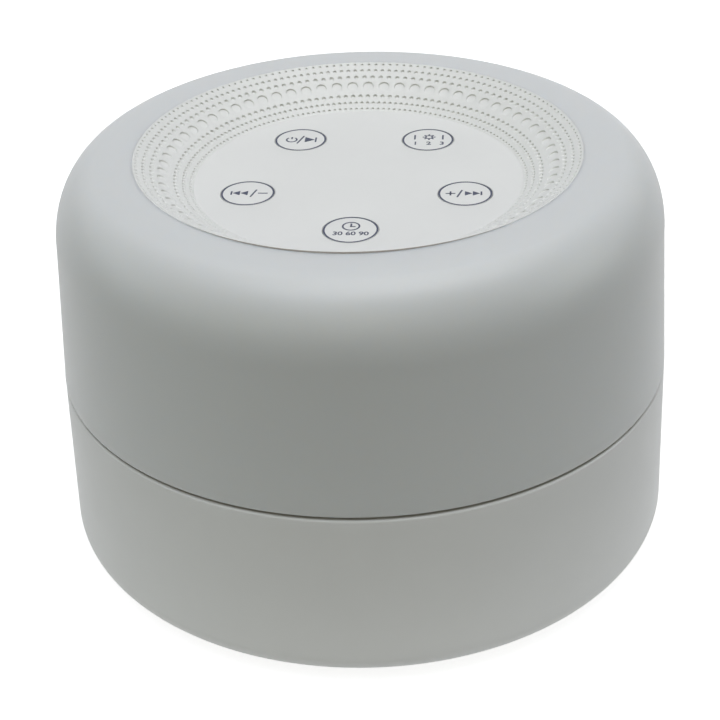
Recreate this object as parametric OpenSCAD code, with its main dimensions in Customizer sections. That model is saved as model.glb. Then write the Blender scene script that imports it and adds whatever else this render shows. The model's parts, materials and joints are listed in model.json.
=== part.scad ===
/* [Casing] */
// Largest diameter, low on the base
body_d = 124; // [123:0.5:128]
// Height of the dish's rim above the table
body_h = 83.6; // [83:0.2:90]
// Height of the seam between the base and the shade
seam_z = 39.4; // [39:0.2:41]
// Width of the seam
seam_gap = 0.5; // [0.3:0.1:0.8]
// Gap under the base, kept by the feet
foot_gap = 2; // [1.5:0.1:2.2]
// Radius of the rounded edge at the foot of the base
base_round = 5.7; // [4.5:0.1:6]
// How much the base's radius shrinks up to the seam
base_taper = 0.5; // [0.2:0.1:0.8]
// Wall thickness of the base
base_wall = 2.4; // [2.2:0.1:2.6]

/* [Shade] */
// How much the shade's radius shrinks from the seam to the shoulder
shade_taper = 1.4; // [1:0.1:2]
// Width of the elliptic shoulder
shoulder_w = 10; // [8:0.5:12]
// Height of the elliptic shoulder
shoulder_h = 14.4; // [12:0.2:16]
// Wall thickness of the shade
shade_wall = 2.2; // [1.8:0.1:2.2]

/* [Control dish] */
// Outer diameter of the dish's rim
dish_d = 87.8; // [87:0.2:89]
// Diameter of the flat floor
dish_floor_d = 65.2; // [64.4:0.2:66]
// Depth of the floor below the rim
dish_depth = 6.4; // [6:0.1:7]
// Thickness of the dish
dish_wall = 2; // [1.8:0.1:2.2]
// How far the rim stands above the shade
dish_proud = 0.6; // [0.4:0.1:0.8]
// Number of large dimples in the sloping wall
dimple_count = 72; // [60:1:80]
// Diameter of a large dimple
dimple_d = 2.2; // [1.8:0.1:2.4]
// Depth of a large dimple
dimple_depth = 0.35; // [0.2:0.05:0.5]
// Diameter of the circle that the large dimples lie on
dimple_row_d = 76.8; // [76:0.2:78]

/* [Keys] */
// Diameter of a key
key_d = 10.5; // [9.5:0.1:11]
// Diameter of the circle that the keys lie on
key_circle_d = 44.4; // [43.6:0.2:45]
// Travel of a key
key_travel = 0.4; // [0.2:0.05:0.45]
// Gap around a key
key_gap = 0.12; // [0.1:0.01:0.2]

/* [Speaker] */
// Diameter of the speaker's frame
speaker_d = 52; // [51:0.5:53]
// Travel of the cone each way
cone_travel = 1; // [0.5:0.1:1.2]

/* [Battery] */
// Diameter of the cell
cell_d = 18.4; // [18:0.1:18.6]
// Length of the cell
cell_l = 65; // [64:0.5:65.5]

/* [Hidden] */
$fn = 96;

// Base: radii, and heights above the table
base_r = body_d / 2;
base_top_r = base_r - base_taper;
base_z = foot_gap;
base_top_z = seam_z - seam_gap / 2;
base_edge = 0.5;
cover_hole_r = base_r - 7.2;
cover_r = cover_hole_r - 0.3;
cover_t = 2.2;
cover_z = base_z + cover_t;
rib_end_r = base_top_r - 1.1;

// Screws that hold the bottom cover and, from above, the main board
pillar_r = 3;
pillar_circle_r = 47.5;
pillar_angles = [38, 142, 218, 322];
pilot_r = 1.5;
cover_head_r = 3;

// Posts that carry the chassis plate
post_circle_r = 53;
post_angles = [30, 150, 270];

// Feet
foot_r = 5.5;
foot_sink = 1;
foot_circle_r = 44;

// Speaker, from the bottom cover upwards
speaker_r = speaker_d / 2;
seat_h = cone_travel + 2;
seat_r = speaker_r + 1;
seat_wall = 3.6;
gasket_t = 0.8;
flange_z = cover_z + seat_h + gasket_t;
flange_t = 1.2;
ear_circle_r = speaker_r + 3.5;
ear_r = 3.3;
motor_z = flange_z + 9;
top_plate_t = 2.5;
magnet_t = 6;
yoke_t = 2.5;
plate_r = 15;
magnet_r = 16;
pole_r = 6.3;
gap_r = 7.75;
former_r = 6.95;
former_t = 0.2;
coil_t = 0.4;
cone_neck_z = flange_z + 5.4;
cone_edge_r = speaker_r - 5.8;
cone_t = 0.5;
roll_r = 0.9;
roll_t = 0.4;
spider_r = 16.8;
spider_z = flange_z + 6.2;
spider_waves = 4;
spider_wave_h = 0.35;
spider_t = 0.3;

// Battery cell, lying across the front of the base
cell_y = -38;
cell_z = cover_z + 1.5 + cell_d / 2;
saddle_x = 20;
saddle_w = 6;
pad_t = 0.8;

// Main board, and the USB-C socket below it
board_z = 29.6;
board_t = 1.6;
board_top_z = board_z + board_t;
board_r = 49.7;
tongue_w = 13;
tongue_y = base_r - 3.5;
usb_w = 8.94;
usb_h = 3.26;
usb_l = 9;
usb_wall = 0.3;
usb_mouth_y = base_r - 1.8;
usb_z = board_z - usb_h / 2;
usb_gap = 0.2;
usb_recess_w = 13;
usb_recess_h = 7.4;
usb_recess_y = base_r - 1.6;

// Chassis plate, lamp board and light column
chassis_t = 2;
chassis_top_z = seam_z + 0.1;
chassis_z = chassis_top_z - chassis_t;
chassis_r = base_r - 5.4;
led_board_t = 1.2;
led_board_r = 49.5;
led_board_hole_r = 38.3;
led_z = chassis_top_z + led_board_t;
led_count = 24;
led_circle_r = 44;
column_r = 36;
column_wall = 2;
boss_circle_r = 31;
boss_r = 3.5;
lower_boss_angles = [0, 90, 180, 270];
upper_boss_angles = [45, 135, 225, 315];

// Dish: heights above the table, and the slope of its wall
dish_r = dish_d / 2;
dish_floor_r = dish_floor_d / 2;
floor_z = body_h - dish_depth;
floor_under_z = floor_z - dish_wall;
lip_w = 0.3;
lip_h = 0.1;
slope = atan((dish_depth - lip_h) / (dish_r - lip_w - dish_floor_r));
rim_under_z = body_h - 2.8;

// Shade
shade_bottom_z = seam_z + seam_gap / 2;
shade_bottom_r = base_top_r - 0.1;
shoulder_r = shade_bottom_r - shade_taper;
shade_top_z = body_h - dish_proud;
shoulder_z = shade_top_z - shoulder_h;
mouth_r = dish_r + 0.2;
ledge_r = dish_r - 1;
spigot_r = base_top_r - base_wall - 0.2;
spigot_wall = 1.9;
spigot_z = seam_z - 4.2;

// Keys, from the floor of the dish downwards
key_r = key_d / 2;
key_circle_r = key_circle_d / 2;
key_angles = [126, 54, -18, -90, -162];
screw_angles = [90, 18, -54, -126, 162];
key_flange_r = key_r + 1;
key_flange_t = 0.8;
key_flange_z = floor_under_z - 0.15;
stem_r = 1.5;
stem_l = 1.6;
switch_w = 6;
switch_h = 3.5;
plunger_r = 1.7;
plunger_l = 2.1;
plunger_gap = 0.08;
plunger_top_z = key_flange_z - key_flange_t - stem_l;
switch_top_z = plunger_top_z - 0.7;
key_board_top_z = switch_top_z - switch_h;
key_board_z = key_board_top_z - board_t;
key_board_r = 27.2;
column_top_z = floor_under_z;
lug_h = 2.2;
lug_z = key_board_top_z - lug_h;

// Leads: points along each route, set by eye
lead_r = 0.6;
lead_sides = 8;
speaker_lead_points = [
    [-28.2, 1.4, 10.2], [-28.2, 1.4, 11.6], [-29, 1.5, 13.6], [-30.4, 1.6, 16], [-30.8, 1.6, 18.4],
    [-30, 1.5, 21], [-28.8, 1.3, 22.8], [-28.4, 1.2, 24], [-28.4, 1.2, 25.2]
];
battery_lead_points = [
    [32.5, -36, 17.4], [33.3, -36, 17.4], [34, -35.8, 18.6], [34, -35.2, 20.6], [33.6, -34.2, 22.8],
    [32.4, -32.8, 24.8], [30.4, -31.2, 26.2], [28.4, -30, 26.9], [26.4, -29.2, 27.2], [25, -29.2, 27.2]
];
led_lead_points = [
    [-44, 0.9, 41.3], [-45.4, 0.9, 41.5], [-47, 0.9, 41.4], [-48.2, 0.9, 40.6], [-48.6, 0.9, 39],
    [-48.6, 0.9, 36.8], [-48, 0.9, 35], [-46.8, 0.9, 33.8], [-45.4, 0.9, 33.5], [-44.2, 0.9, 33.5]
];
lead_hole_x = -48.6;

// Points on an elliptic arc
function arc(cx, cy, rx, ry, from, to, steps) = [
    for (i = [0:steps]) let (a = from + (to - from) * i / steps) [cx + rx * cos(a), cy + ry * sin(a)]
];

// Height of the dish's sloping wall at radius r
function wall_z(r) = floor_z + (r - dish_floor_r) * tan(slope);

// Height of the wall's lower face at radius r
function wall_under_z(r) = wall_z(r) - dish_wall / cos(slope);

// Height of the cone's front face at radius r
function cone_z(r) =
    let (front_z = cone_neck_z - cone_t)
    front_z - (r - former_r) * (front_z - flange_z) / (cone_edge_r - former_r);

// Unit vector along v
function unit(v) = v / norm(v);

// Direction of a route at point i
function heading(p, i) = unit(p[min(i + 1, len(p) - 1)] - p[max(i - 1, 0)]);

// Ring of points around point i of a route
function ring(p, i, r, n) =
    let (t = heading(p, i), u = unit(cross(t, [0.3, 1, 0.2])), v = cross(t, u))
    [for (k = [0:n - 1]) p[i] + r * (u * cos(360 * k / n) + v * sin(360 * k / n))];

// Places its children on a circle, at each of the angles
module polar(radius, angles) {
    for (a = angles) {
        rotate(a) translate([radius, 0, 0]) children();
    }
}

// Turns its children from upright to lying along the cell, with their foot at its left end
module along_cell() {
    translate([-cell_l / 2, cell_y, cell_z]) rotate([0, 90, 0]) children();
}

// Ring between two radii
module washer(outer_r, inner_r, height) {
    difference() {
        cylinder(r = outer_r, h = height);
        translate([0, 0, -1]) cylinder(r = inner_r, h = height + 2);
    }
}

// Slot outline with round ends
module slot(width, height) {
    end_r = height / 2;
    square([width - height, height], center = true);
    for (side = [-1, 1]) {
        translate([side * (width / 2 - end_r), 0]) circle(r = end_r, $fn = 32);
    }
}

// Screw with its head's top at z = 0 and its shank pointing down
module screw(head_r, head_h, shank_r, length) {
    cross_w = head_r * 0.3;
    difference() {
        translate([0, 0, -head_h]) cylinder(r = head_r, h = head_h, $fn = 32);
        for (turn = [0, 90]) {
            rotate(turn) translate([0, 0, -head_h / 4])
                cube([head_r * 1.2, cross_w, head_h], center = true);
        }
    }
    translate([0, 0, -head_h - length]) cylinder(r = shank_r, h = length + 0.01, $fn = 32);
}

// Round lead swept along a route
module lead(points) {
    last = len(points) - 1;
    n = lead_sides;
    polyhedron(
        points = [for (i = [0:last]) each ring(points, i, lead_r, n)],
        faces = concat(
            [[for (k = [0:n - 1]) k]],
            [for (i = [0:last - 1]) for (k = [0:n - 1])
                [i * n + k, (i + 1) * n + k, (i + 1) * n + (k + 1) % n, i * n + (k + 1) % n]],
            [[for (k = [n - 1:-1:0]) last * n + k]]
        )
    );
}

module base_shell() {
    corner_r = base_r - base_round;
    corner_z = base_z + base_round;
    rotate_extrude() polygon(concat(
        [[cover_hole_r, base_z]],
        arc(corner_r, corner_z, base_round, base_round, -90, 0, 10),
        [
            [base_top_r, base_top_z - base_edge],
            [base_top_r - base_edge, base_top_z],
            [base_top_r - base_wall, base_top_z]
        ],
        arc(corner_r, corner_z, base_round - base_wall, base_round - base_wall, 0, -90, 6),
        [[cover_hole_r, base_z + base_wall]]
    ));
}

module usb_opening() {
    translate([0, usb_recess_y, usb_z]) rotate([-90, 0, 0])
        linear_extrude(4) slot(usb_recess_w, usb_recess_h);
    translate([0, base_r + 1, usb_z]) rotate([90, 0, 0])
        linear_extrude(6) slot(usb_w + 2 * usb_gap, usb_h + 2 * usb_gap);
}

module base_housing() {
    rib_w = 1.8;
    post_l = 12;
    color([0.87, 0.87, 0.85]) difference() {
        union() {
            base_shell();
            polar(pillar_circle_r, pillar_angles) {
                translate([0, 0, cover_z]) cylinder(r = pillar_r, h = board_z - cover_z);
                translate([0, -rib_w / 2, base_z + 4])
                    cube([rib_end_r - pillar_circle_r, rib_w, board_z - base_z - 6]);
            }
            polar(post_circle_r, post_angles) {
                translate([0, 0, chassis_z - post_l]) cylinder(r = pillar_r, h = post_l);
                translate([0, -rib_w / 2, chassis_z - post_l])
                    cube([rib_end_r - post_circle_r, rib_w, spigot_z - chassis_z + post_l - 0.4]);
            }
        }
        polar(pillar_circle_r, pillar_angles) {
            translate([0, 0, cover_z - 1]) cylinder(r = pilot_r, h = 10);
            translate([0, 0, board_z - 6]) cylinder(r = pilot_r, h = 7);
        }
        polar(post_circle_r, post_angles) {
            translate([0, 0, chassis_z - 8]) cylinder(r = pilot_r, h = 9);
        }
        usb_opening();
    }
}

module sound_slots() {
    slot_w = 2;
    slot_pitch = 4;
    grille_r = 20;
    for (i = [-4:4]) {
        half = sqrt(grille_r * grille_r - i * i * slot_pitch * slot_pitch);
        translate([0, i * slot_pitch, base_z - 1]) linear_extrude(cover_t + 2) slot(2 * half, slot_w);
    }
}

module bottom_cover() {
    color([0.84, 0.84, 0.82]) difference() {
        union() {
            translate([0, 0, base_z]) cylinder(r = cover_r, h = cover_t);
            translate([0, 0, base_z + 1]) washer(seat_r, seat_r - seat_wall, cover_t - 1 + seat_h);
            polar(ear_circle_r, upper_boss_angles) {
                translate([0, 0, base_z + 1]) cylinder(r = ear_r - 0.4, h = flange_z - base_z - 1);
            }
            for (side = [-1, 1]) {
                translate([side * saddle_x - saddle_w / 2, cell_y - cell_d / 2, base_z + 1])
                    cube([saddle_w, cell_d, cell_z - base_z - 4]);
            }
        }
        sound_slots();
        polar(ear_circle_r, upper_boss_angles) {
            translate([0, 0, cover_z - 1]) cylinder(r = 1.05, h = seat_h + 3);
        }
        polar(pillar_circle_r, pillar_angles) {
            translate([0, 0, base_z - 1]) cylinder(r = pilot_r + 0.1, h = cover_t + 2);
            translate([0, 0, base_z - 1]) cylinder(r = cover_head_r + 0.2, h = 2.3);
        }
        polar(foot_circle_r, lower_boss_angles) {
            translate([0, 0, base_z - 1]) cylinder(r = foot_r + 0.1, h = 1 + foot_sink);
        }
        along_cell() cylinder(r = cell_d / 2 + pad_t, h = cell_l);
    }
}

module grille_cloth() {
    color([0.12, 0.12, 0.12]) translate([0, 0, cover_z]) cylinder(r = seat_r - seat_wall - 0.3, h = 0.3);
}

module foot(angle) {
    rim = 0.6;
    color([0.75, 0.75, 0.73]) polar(foot_circle_r, [angle]) {
        cylinder(r1 = foot_r - rim, r2 = foot_r, h = rim);
        translate([0, 0, rim]) cylinder(r = foot_r, h = base_z + foot_sink - rim);
    }
}

module cover_screws() {
    color([0.6, 0.6, 0.62]) polar(pillar_circle_r, pillar_angles) {
        translate([0, 0, base_z + 0.1]) rotate([180, 0, 0]) screw(cover_head_r, 1.2, pilot_r - 0.05, 9);
    }
}

module speaker_gasket() {
    color([0.1, 0.1, 0.1]) translate([0, 0, cover_z + seat_h]) washer(speaker_r, speaker_r - 1.8, gasket_t);
}

module speaker_frame() {
    skirt_r = speaker_r - 7.5;
    window_w = 12;
    color([0.2, 0.2, 0.21]) difference() {
        union() {
            rotate_extrude() polygon([
                [speaker_r - 3.2, flange_z], [speaker_r, flange_z], [speaker_r, flange_z + flange_t],
                [speaker_r - 1, flange_z + flange_t], [skirt_r, flange_z + 6], [skirt_r, motor_z],
                [pole_r + 3, motor_z], [pole_r + 3, motor_z - 0.9], [skirt_r - 1.1, motor_z - 0.9],
                [skirt_r - 1.1, spider_z + 1.2], [spider_r - 1.4, spider_z + 1.2],
                [spider_r - 1.4, spider_z + 0.4], [skirt_r - 1.1, spider_z + 0.4],
                [skirt_r - 1.1, flange_z + 6], [speaker_r - 2.2, flange_z + flange_t],
                [speaker_r - 3.2, flange_z + flange_t]
            ]);
            polar(ear_circle_r, upper_boss_angles) {
                translate([0, 0, flange_z]) cylinder(r = ear_r, h = flange_t);
                translate([-4.5, -ear_r, flange_z]) cube([4.5, 2 * ear_r, flange_t]);
            }
        }
        polar(ear_circle_r, upper_boss_angles) {
            translate([0, 0, flange_z - 1]) cylinder(r = 1.3, h = flange_t + 2);
        }
        for (turn = [0, 90, 180, 270]) {
            rotate(turn) translate([skirt_r - 4, -window_w / 2, flange_z + 2.2]) cube([12, window_w, 3.2]);
        }
    }
}

module speaker_top_plate() {
    color([0.7, 0.7, 0.72]) translate([0, 0, motor_z]) washer(plate_r, gap_r, top_plate_t);
}

module speaker_magnet() {
    color([0.18, 0.18, 0.19]) translate([0, 0, motor_z + top_plate_t]) washer(magnet_r, 10, magnet_t);
}

module speaker_yoke() {
    back_z = motor_z + top_plate_t + magnet_t;
    color([0.7, 0.7, 0.72]) difference() {
        union() {
            translate([0, 0, back_z]) cylinder(r = plate_r, h = yoke_t);
            translate([0, 0, motor_z]) cylinder(r = pole_r, h = back_z - motor_z + 0.01);
        }
        translate([0, 0, motor_z - 1]) cylinder(r = 1.5, h = back_z - motor_z + yoke_t + 2);
    }
}

module speaker_terminals() {
    tag_x = -28.2;
    color([0.75, 0.6, 0.3]) {
        translate([tag_x - 1, -4, flange_z + flange_t]) cube([4, 8, 1]);
    }
}

module speaker_cone() {
    lip_r = cone_edge_r + 0.9;
    color([0.13, 0.13, 0.14]) rotate_extrude() polygon([
        [former_r, cone_neck_z], [former_r, cone_neck_z - cone_t], [cone_edge_r, flange_z],
        [lip_r, flange_z], [lip_r, flange_z + cone_t], [cone_edge_r, flange_z + cone_t]
    ]);
}

module dust_cap() {
    cap_r = former_r + 0.9;
    cap_h = 2;
    cap_t = 0.35;
    edge_z = cone_z(cap_r);
    color([0.16, 0.16, 0.17]) rotate_extrude() polygon(concat(
        arc(0, edge_z, cap_r, cap_h, 0, -90, 8),
        arc(0, edge_z, cap_r - cap_t, cap_h - cap_t, -90, 0, 8)
    ));
}

module voice_coil() {
    former_top_z = motor_z + top_plate_t + 1.3;
    coil_h = 4;
    color([0.72, 0.42, 0.2]) rotate_extrude() polygon([
        [former_r - former_t, cone_neck_z - cone_t], [former_r, cone_neck_z - cone_t],
        [former_r, former_top_z - coil_h - 0.4], [former_r + coil_t, former_top_z - coil_h - 0.4],
        [former_r + coil_t, former_top_z - 0.4], [former_r, former_top_z - 0.4],
        [former_r, former_top_z], [former_r - former_t, former_top_z]
    ]);
}

module speaker_surround() {
    roll_x = cone_edge_r + 0.9 + roll_r;
    lip_z = flange_z - roll_t;
    color([0.07, 0.07, 0.07]) rotate_extrude() polygon(concat(
        [[roll_x - roll_r - 0.7, flange_z], [roll_x - roll_r - 0.7, lip_z]],
        arc(roll_x, lip_z, roll_r, roll_r, 180, 360, 8),
        [[speaker_r - 1.9, lip_z], [speaker_r - 1.9, flange_z]],
        [[roll_x + roll_r - roll_t, flange_z]],
        arc(roll_x, lip_z, roll_r - roll_t, roll_r - roll_t, 360, 180, 8),
        [[roll_x - roll_r + roll_t, flange_z]]
    ));
}

module speaker_spider() {
    steps = 6 * spider_waves;
    wave = [
        for (i = [0:steps]) let (part = i / steps)
        [former_r + (spider_r - former_r) * part, spider_z + spider_wave_h * sin(360 * spider_waves * part)]
    ];
    color([0.75, 0.6, 0.3]) rotate_extrude() polygon(concat(
        wave,
        [for (i = [steps:-1:0]) wave[i] - [0, spider_t]]
    ));
}

module speaker_screws() {
    color([0.6, 0.6, 0.62]) polar(ear_circle_r, upper_boss_angles) {
        translate([0, 0, flange_z + flange_t + 1.3]) screw(2, 1.3, 1, 4.5);
    }
}

module battery_cell() {
    color([0.25, 0.45, 0.65]) along_cell() cylinder(r = cell_d / 2, h = cell_l);
}

module battery_pads() {
    color([0.2, 0.2, 0.2]) intersection() {
        for (side = [-1, 1]) {
            translate([side * saddle_x - saddle_w / 2, cell_y - cell_d / 2, cover_z])
                cube([saddle_w, cell_d, cell_z - cover_z - 3.8]);
        }
        along_cell() washer(cell_d / 2 + pad_t, cell_d / 2, cell_l);
    }
}

module battery_leads() {
    color([0.75, 0.12, 0.1]) lead(battery_lead_points);
    color([0.1, 0.1, 0.1]) lead([for (p = battery_lead_points) p - [0, 1.6, 0]]);
}

module speaker_leads() {
    color([0.75, 0.12, 0.1]) lead(speaker_lead_points);
    color([0.1, 0.1, 0.1]) lead([for (p = speaker_lead_points) [p[0], -p[1], p[2]]]);
}

module main_board() {
    color([0.1, 0.35, 0.2]) difference() {
        union() {
            translate([0, 0, board_z]) cylinder(r = board_r, h = board_t);
            translate([-tongue_w / 2, board_r - 4, board_z])
                cube([tongue_w, tongue_y - board_r + 4, board_t]);
        }
        polar(pillar_circle_r, pillar_angles) {
            translate([0, 0, board_z - 1]) cylinder(r = 1.3, h = board_t + 2);
        }
    }
}

module main_board_chips() {
    color([0.08, 0.08, 0.08]) {
        translate([-22, 12, board_top_z]) cube([10, 10, 1.6]);
        translate([14, 16, board_top_z]) cube([5, 6.2, 1.5]);
        translate([18, -14, board_top_z]) cube([7, 7, 0.9]);
        translate([-4, 38, board_top_z]) cube([6, 5, 1.5]);
    }
}

module main_board_capacitors() {
    color([0.8, 0.8, 0.82]) for (place = [[28, 4], [28, 12], [-30, -14], [12, 34]]) {
        translate([place[0], place[1], board_top_z]) cylinder(d = 6.3, h = 4.8);
    }
}

module lead_sockets() {
    ribbon_z = key_board_z - 2.2;
    color([0.9, 0.89, 0.84]) {
        translate([-31.4, -3.4, board_z - 4.4]) cube([6, 6.8, 4.4]);
        translate([18.6, -31.2, board_z - 4.4]) cube([6.4, 6.8, 4.4]);
        translate([-44.2, -3.4, board_top_z]) cube([6, 6.8, 4.4]);
        translate([-6, 4, board_top_z]) cube([12, 4, 2.2]);
        translate([-6, 4, ribbon_z]) cube([12, 4, 2.2]);
    }
}

module usb_c_socket() {
    tongue_h = 0.7;
    color([0.8, 0.8, 0.82]) translate([0, usb_mouth_y, usb_z]) rotate([90, 0, 0]) {
        difference() {
            linear_extrude(usb_l) slot(usb_w, usb_h);
            translate([0, 0, -1]) linear_extrude(usb_l - 1.5)
                slot(usb_w - 2 * usb_wall, usb_h - 2 * usb_wall);
        }
        translate([-3.3, -tongue_h / 2, 0.8]) cube([6.6, tongue_h, usb_l - 1.5]);
    }
}

module board_screws() {
    color([0.6, 0.6, 0.62]) polar(pillar_circle_r, pillar_angles) {
        translate([0, 0, board_top_z + 1.4]) screw(2.2, 1.4, 1.25, 6);
    }
}

module chassis_plate() {
    color([0.92, 0.92, 0.91]) difference() {
        translate([0, 0, chassis_z]) cylinder(r = chassis_r, h = chassis_t);
        translate([0, 0, chassis_z - 1]) cylinder(r = 12, h = chassis_t + 2);
        polar(post_circle_r, post_angles) {
            translate([0, 0, chassis_z - 1]) cylinder(r = pilot_r + 0.1, h = chassis_t + 2);
        }
        polar(boss_circle_r, lower_boss_angles) {
            translate([0, 0, chassis_z - 1]) cylinder(r = 1.4, h = chassis_t + 2);
        }
        polar(led_circle_r, post_angles) {
            translate([0, 0, chassis_z - 1]) cylinder(r = 0.9, h = chassis_t + 2);
        }
        translate([lead_hole_x, 0, chassis_z - 1]) cylinder(r = 3, h = chassis_t + 2);
    }
}

module chassis_screws() {
    color([0.6, 0.6, 0.62]) polar(post_circle_r, post_angles) {
        translate([0, 0, chassis_top_z + 1.5]) screw(2.6, 1.5, pilot_r - 0.05, 8);
    }
}

module light_column() {
    inner_r = column_r - column_wall;
    boss_h = 9.5;
    color([0.95, 0.95, 0.94]) difference() {
        union() {
            translate([0, 0, chassis_top_z]) washer(column_r, inner_r, column_top_z - chassis_top_z);
            translate([0, 0, chassis_top_z]) washer(column_r + 1.9, inner_r, 1.5);
            polar(boss_circle_r, lower_boss_angles) {
                translate([0, 0, chassis_top_z]) cylinder(r = boss_r, h = boss_h);
            }
            polar(boss_circle_r, upper_boss_angles) {
                translate([0, 0, lug_z]) cylinder(r = boss_r, h = lug_h);
            }
        }
        polar(boss_circle_r, lower_boss_angles) {
            translate([0, 0, chassis_top_z - 1]) cylinder(r = 1.1, h = boss_h - 0.5);
        }
        polar(boss_circle_r, upper_boss_angles) {
            translate([0, 0, lug_z - 1]) cylinder(r = 1.4, h = 5);
        }
    }
}

module column_screws() {
    color([0.6, 0.6, 0.62]) polar(boss_circle_r, lower_boss_angles) {
        translate([0, 0, chassis_z - 1.3]) rotate([180, 0, 0]) screw(2.4, 1.3, 1.05, 8);
    }
}

module led_board() {
    color([0.93, 0.93, 0.92]) difference() {
        translate([0, 0, chassis_top_z]) washer(led_board_r, led_board_hole_r, led_board_t);
        polar(led_circle_r, post_angles) {
            translate([0, 0, chassis_top_z - 1]) cylinder(r = 1.1, h = led_board_t + 2);
        }
        translate([lead_hole_x, 0, chassis_top_z - 1]) cylinder(r = 3, h = led_board_t + 2);
    }
}

module leds() {
    led_step = 360 / led_count;
    color([0.98, 0.9, 0.55]) polar(led_circle_r, [for (i = [0:led_count - 1]) (i + 0.5) * led_step]) {
        translate([0, 0, led_z + 0.4]) cube([2.8, 3.5, 0.8], center = true);
    }
}

module led_board_screws() {
    color([0.6, 0.6, 0.62]) polar(led_circle_r, post_angles) {
        translate([0, 0, led_z + 1]) screw(1.7, 1, 0.85, 2.6);
    }
}

module led_leads() {
    color([0.75, 0.12, 0.1]) lead(led_lead_points);
    color([0.1, 0.1, 0.1]) lead([for (p = led_lead_points) [p[0], -p[1], p[2]]]);
}

module key_ribbon() {
    ribbon_w = 8;
    ribbon_t = 0.3;
    from_z = board_top_z + 2.2;
    to_z = key_board_z - 2.2;
    steps = 24;
    sway = 5;
    route = [
        for (i = [0:steps]) let (part = i / steps)
        [6 + sway * sin(360 * part) * sin(180 * part), from_z + (to_z - from_z) * part]
    ];
    color([0.85, 0.85, 0.86]) translate([-ribbon_w / 2, 0, 0]) rotate([90, 0, 90])
        linear_extrude(ribbon_w) polygon(concat(route, [for (i = [steps:-1:0]) route[i] + [ribbon_t, 0]]));
}

module shade() {
    corner_r = shoulder_r - shoulder_w;
    hook_w = 8;
    color([0.8, 0.83, 0.86]) union() {
        rotate_extrude() polygon(concat(
            [
                [spigot_r, spigot_z], [spigot_r, shade_bottom_z],
                [shade_bottom_r - 0.3, shade_bottom_z], [shade_bottom_r, shade_bottom_z + 0.3]
            ],
            arc(corner_r, shoulder_z, shoulder_w, shoulder_h, 0, 90, 18),
            [
                [mouth_r + 0.3, shade_top_z], [mouth_r, shade_top_z - 0.3], [mouth_r, rim_under_z],
                [ledge_r, rim_under_z], [ledge_r, rim_under_z - 1.8],
                [corner_r - 2, shade_top_z - shade_wall]
            ],
            arc(corner_r, shoulder_z, shoulder_w - shade_wall, shoulder_h - shade_wall, 90, 0, 12),
            [
                [spigot_r + 0.1, shade_bottom_z + 4], [spigot_r - spigot_wall, shade_bottom_z + 2.6],
                [spigot_r - spigot_wall, spigot_z]
            ]
        ));
        for (turn = [0:60:300]) {
            rotate(turn) translate([chassis_r - 0.6, -hook_w / 2, chassis_z - 1.2])
                cube([spigot_r - 0.5 - chassis_r, hook_w, 1]);
        }
    }
}

module dish_body() {
    skirt_r = column_r + 0.3;
    skirt_w = 1.5;
    skirt_l = 7;
    under_r = dish_floor_r + dish_wall * tan(slope / 2);
    lip_z = body_h - lip_h;
    outer_edge = 0.15;
    rotate_extrude() polygon([
        [0, floor_z], [dish_floor_r, floor_z], [dish_r - lip_w, lip_z],
        [dish_r - lip_w + 0.08, body_h], [dish_r - outer_edge, body_h], [dish_r, body_h - outer_edge],
        [dish_r, rim_under_z], [dish_r - 1.3, rim_under_z],
        [dish_r - 1.3, wall_under_z(dish_r - 1.3)], [under_r, floor_under_z], [0, floor_under_z]
    ]);
    translate([0, 0, column_top_z - 4]) washer(skirt_r + skirt_w, skirt_r, skirt_l);
    polar(boss_circle_r, upper_boss_angles) {
        translate([0, 0, key_board_top_z]) cylinder(r = 2.8, h = floor_under_z - key_board_top_z + 0.2);
    }
    polar(key_circle_r, screw_angles) {
        translate([0, 0, key_board_top_z]) cylinder(r = 2.4, h = floor_under_z - key_board_top_z + 0.2);
    }
}

module control_dish() {
    row_r = dimple_row_d / 2;
    dimple_angles = [for (i = [0:dimple_count - 1]) i * 360 / dimple_count];
    color([0.95, 0.95, 0.94]) difference() {
        dish_body();
        polar(key_circle_r, key_angles) {
            translate([0, 0, floor_under_z - 1]) cylinder(r = key_r + key_gap, h = dish_wall + 2);
        }
        polar(boss_circle_r, upper_boss_angles) {
            translate([0, 0, lug_z]) cylinder(r = 1.1, h = 8);
        }
        polar(key_circle_r, screw_angles) {
            translate([0, 0, key_board_top_z - 1]) cylinder(r = 0.9, h = 6);
        }
        polar(row_r, dimple_angles) {
            translate([0, 0, wall_z(row_r)]) rotate([0, -slope, 0]) translate([0, 0, -dimple_depth])
                cylinder(d = dimple_d, h = 2, $fn = 24);
        }
    }
}

module dish_screws() {
    color([0.6, 0.6, 0.62]) polar(boss_circle_r, upper_boss_angles) {
        translate([0, 0, lug_z - 1.3]) rotate([180, 0, 0]) screw(2.4, 1.3, 1.05, 7);
    }
}

module key_board() {
    color([0.1, 0.35, 0.2]) difference() {
        translate([0, 0, key_board_z]) cylinder(r = key_board_r, h = board_t);
        polar(key_circle_r, screw_angles) {
            translate([0, 0, key_board_z - 1]) cylinder(r = 1.1, h = board_t + 2);
        }
    }
}

module key_board_screws() {
    color([0.6, 0.6, 0.62]) polar(key_circle_r, screw_angles) {
        translate([0, 0, key_board_z - 1.1]) rotate([180, 0, 0]) screw(1.9, 1.1, 0.85, 5.5);
    }
}

module switch_body(index) {
    color([0.15, 0.15, 0.16]) polar(key_circle_r, [key_angles[index]]) {
        difference() {
            translate([0, 0, key_board_top_z + switch_h / 2])
                cube([switch_w, switch_w, switch_h], center = true);
            translate([0, 0, plunger_top_z - plunger_l - key_travel - 0.1])
                cylinder(r = plunger_r + plunger_gap, h = 4, $fn = 48);
        }
    }
}

module plunger(index) {
    color([0.1, 0.1, 0.1]) polar(key_circle_r, [key_angles[index]]) {
        translate([0, 0, plunger_top_z - plunger_l]) cylinder(r = plunger_r, h = plunger_l, $fn = 48);
    }
}

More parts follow.
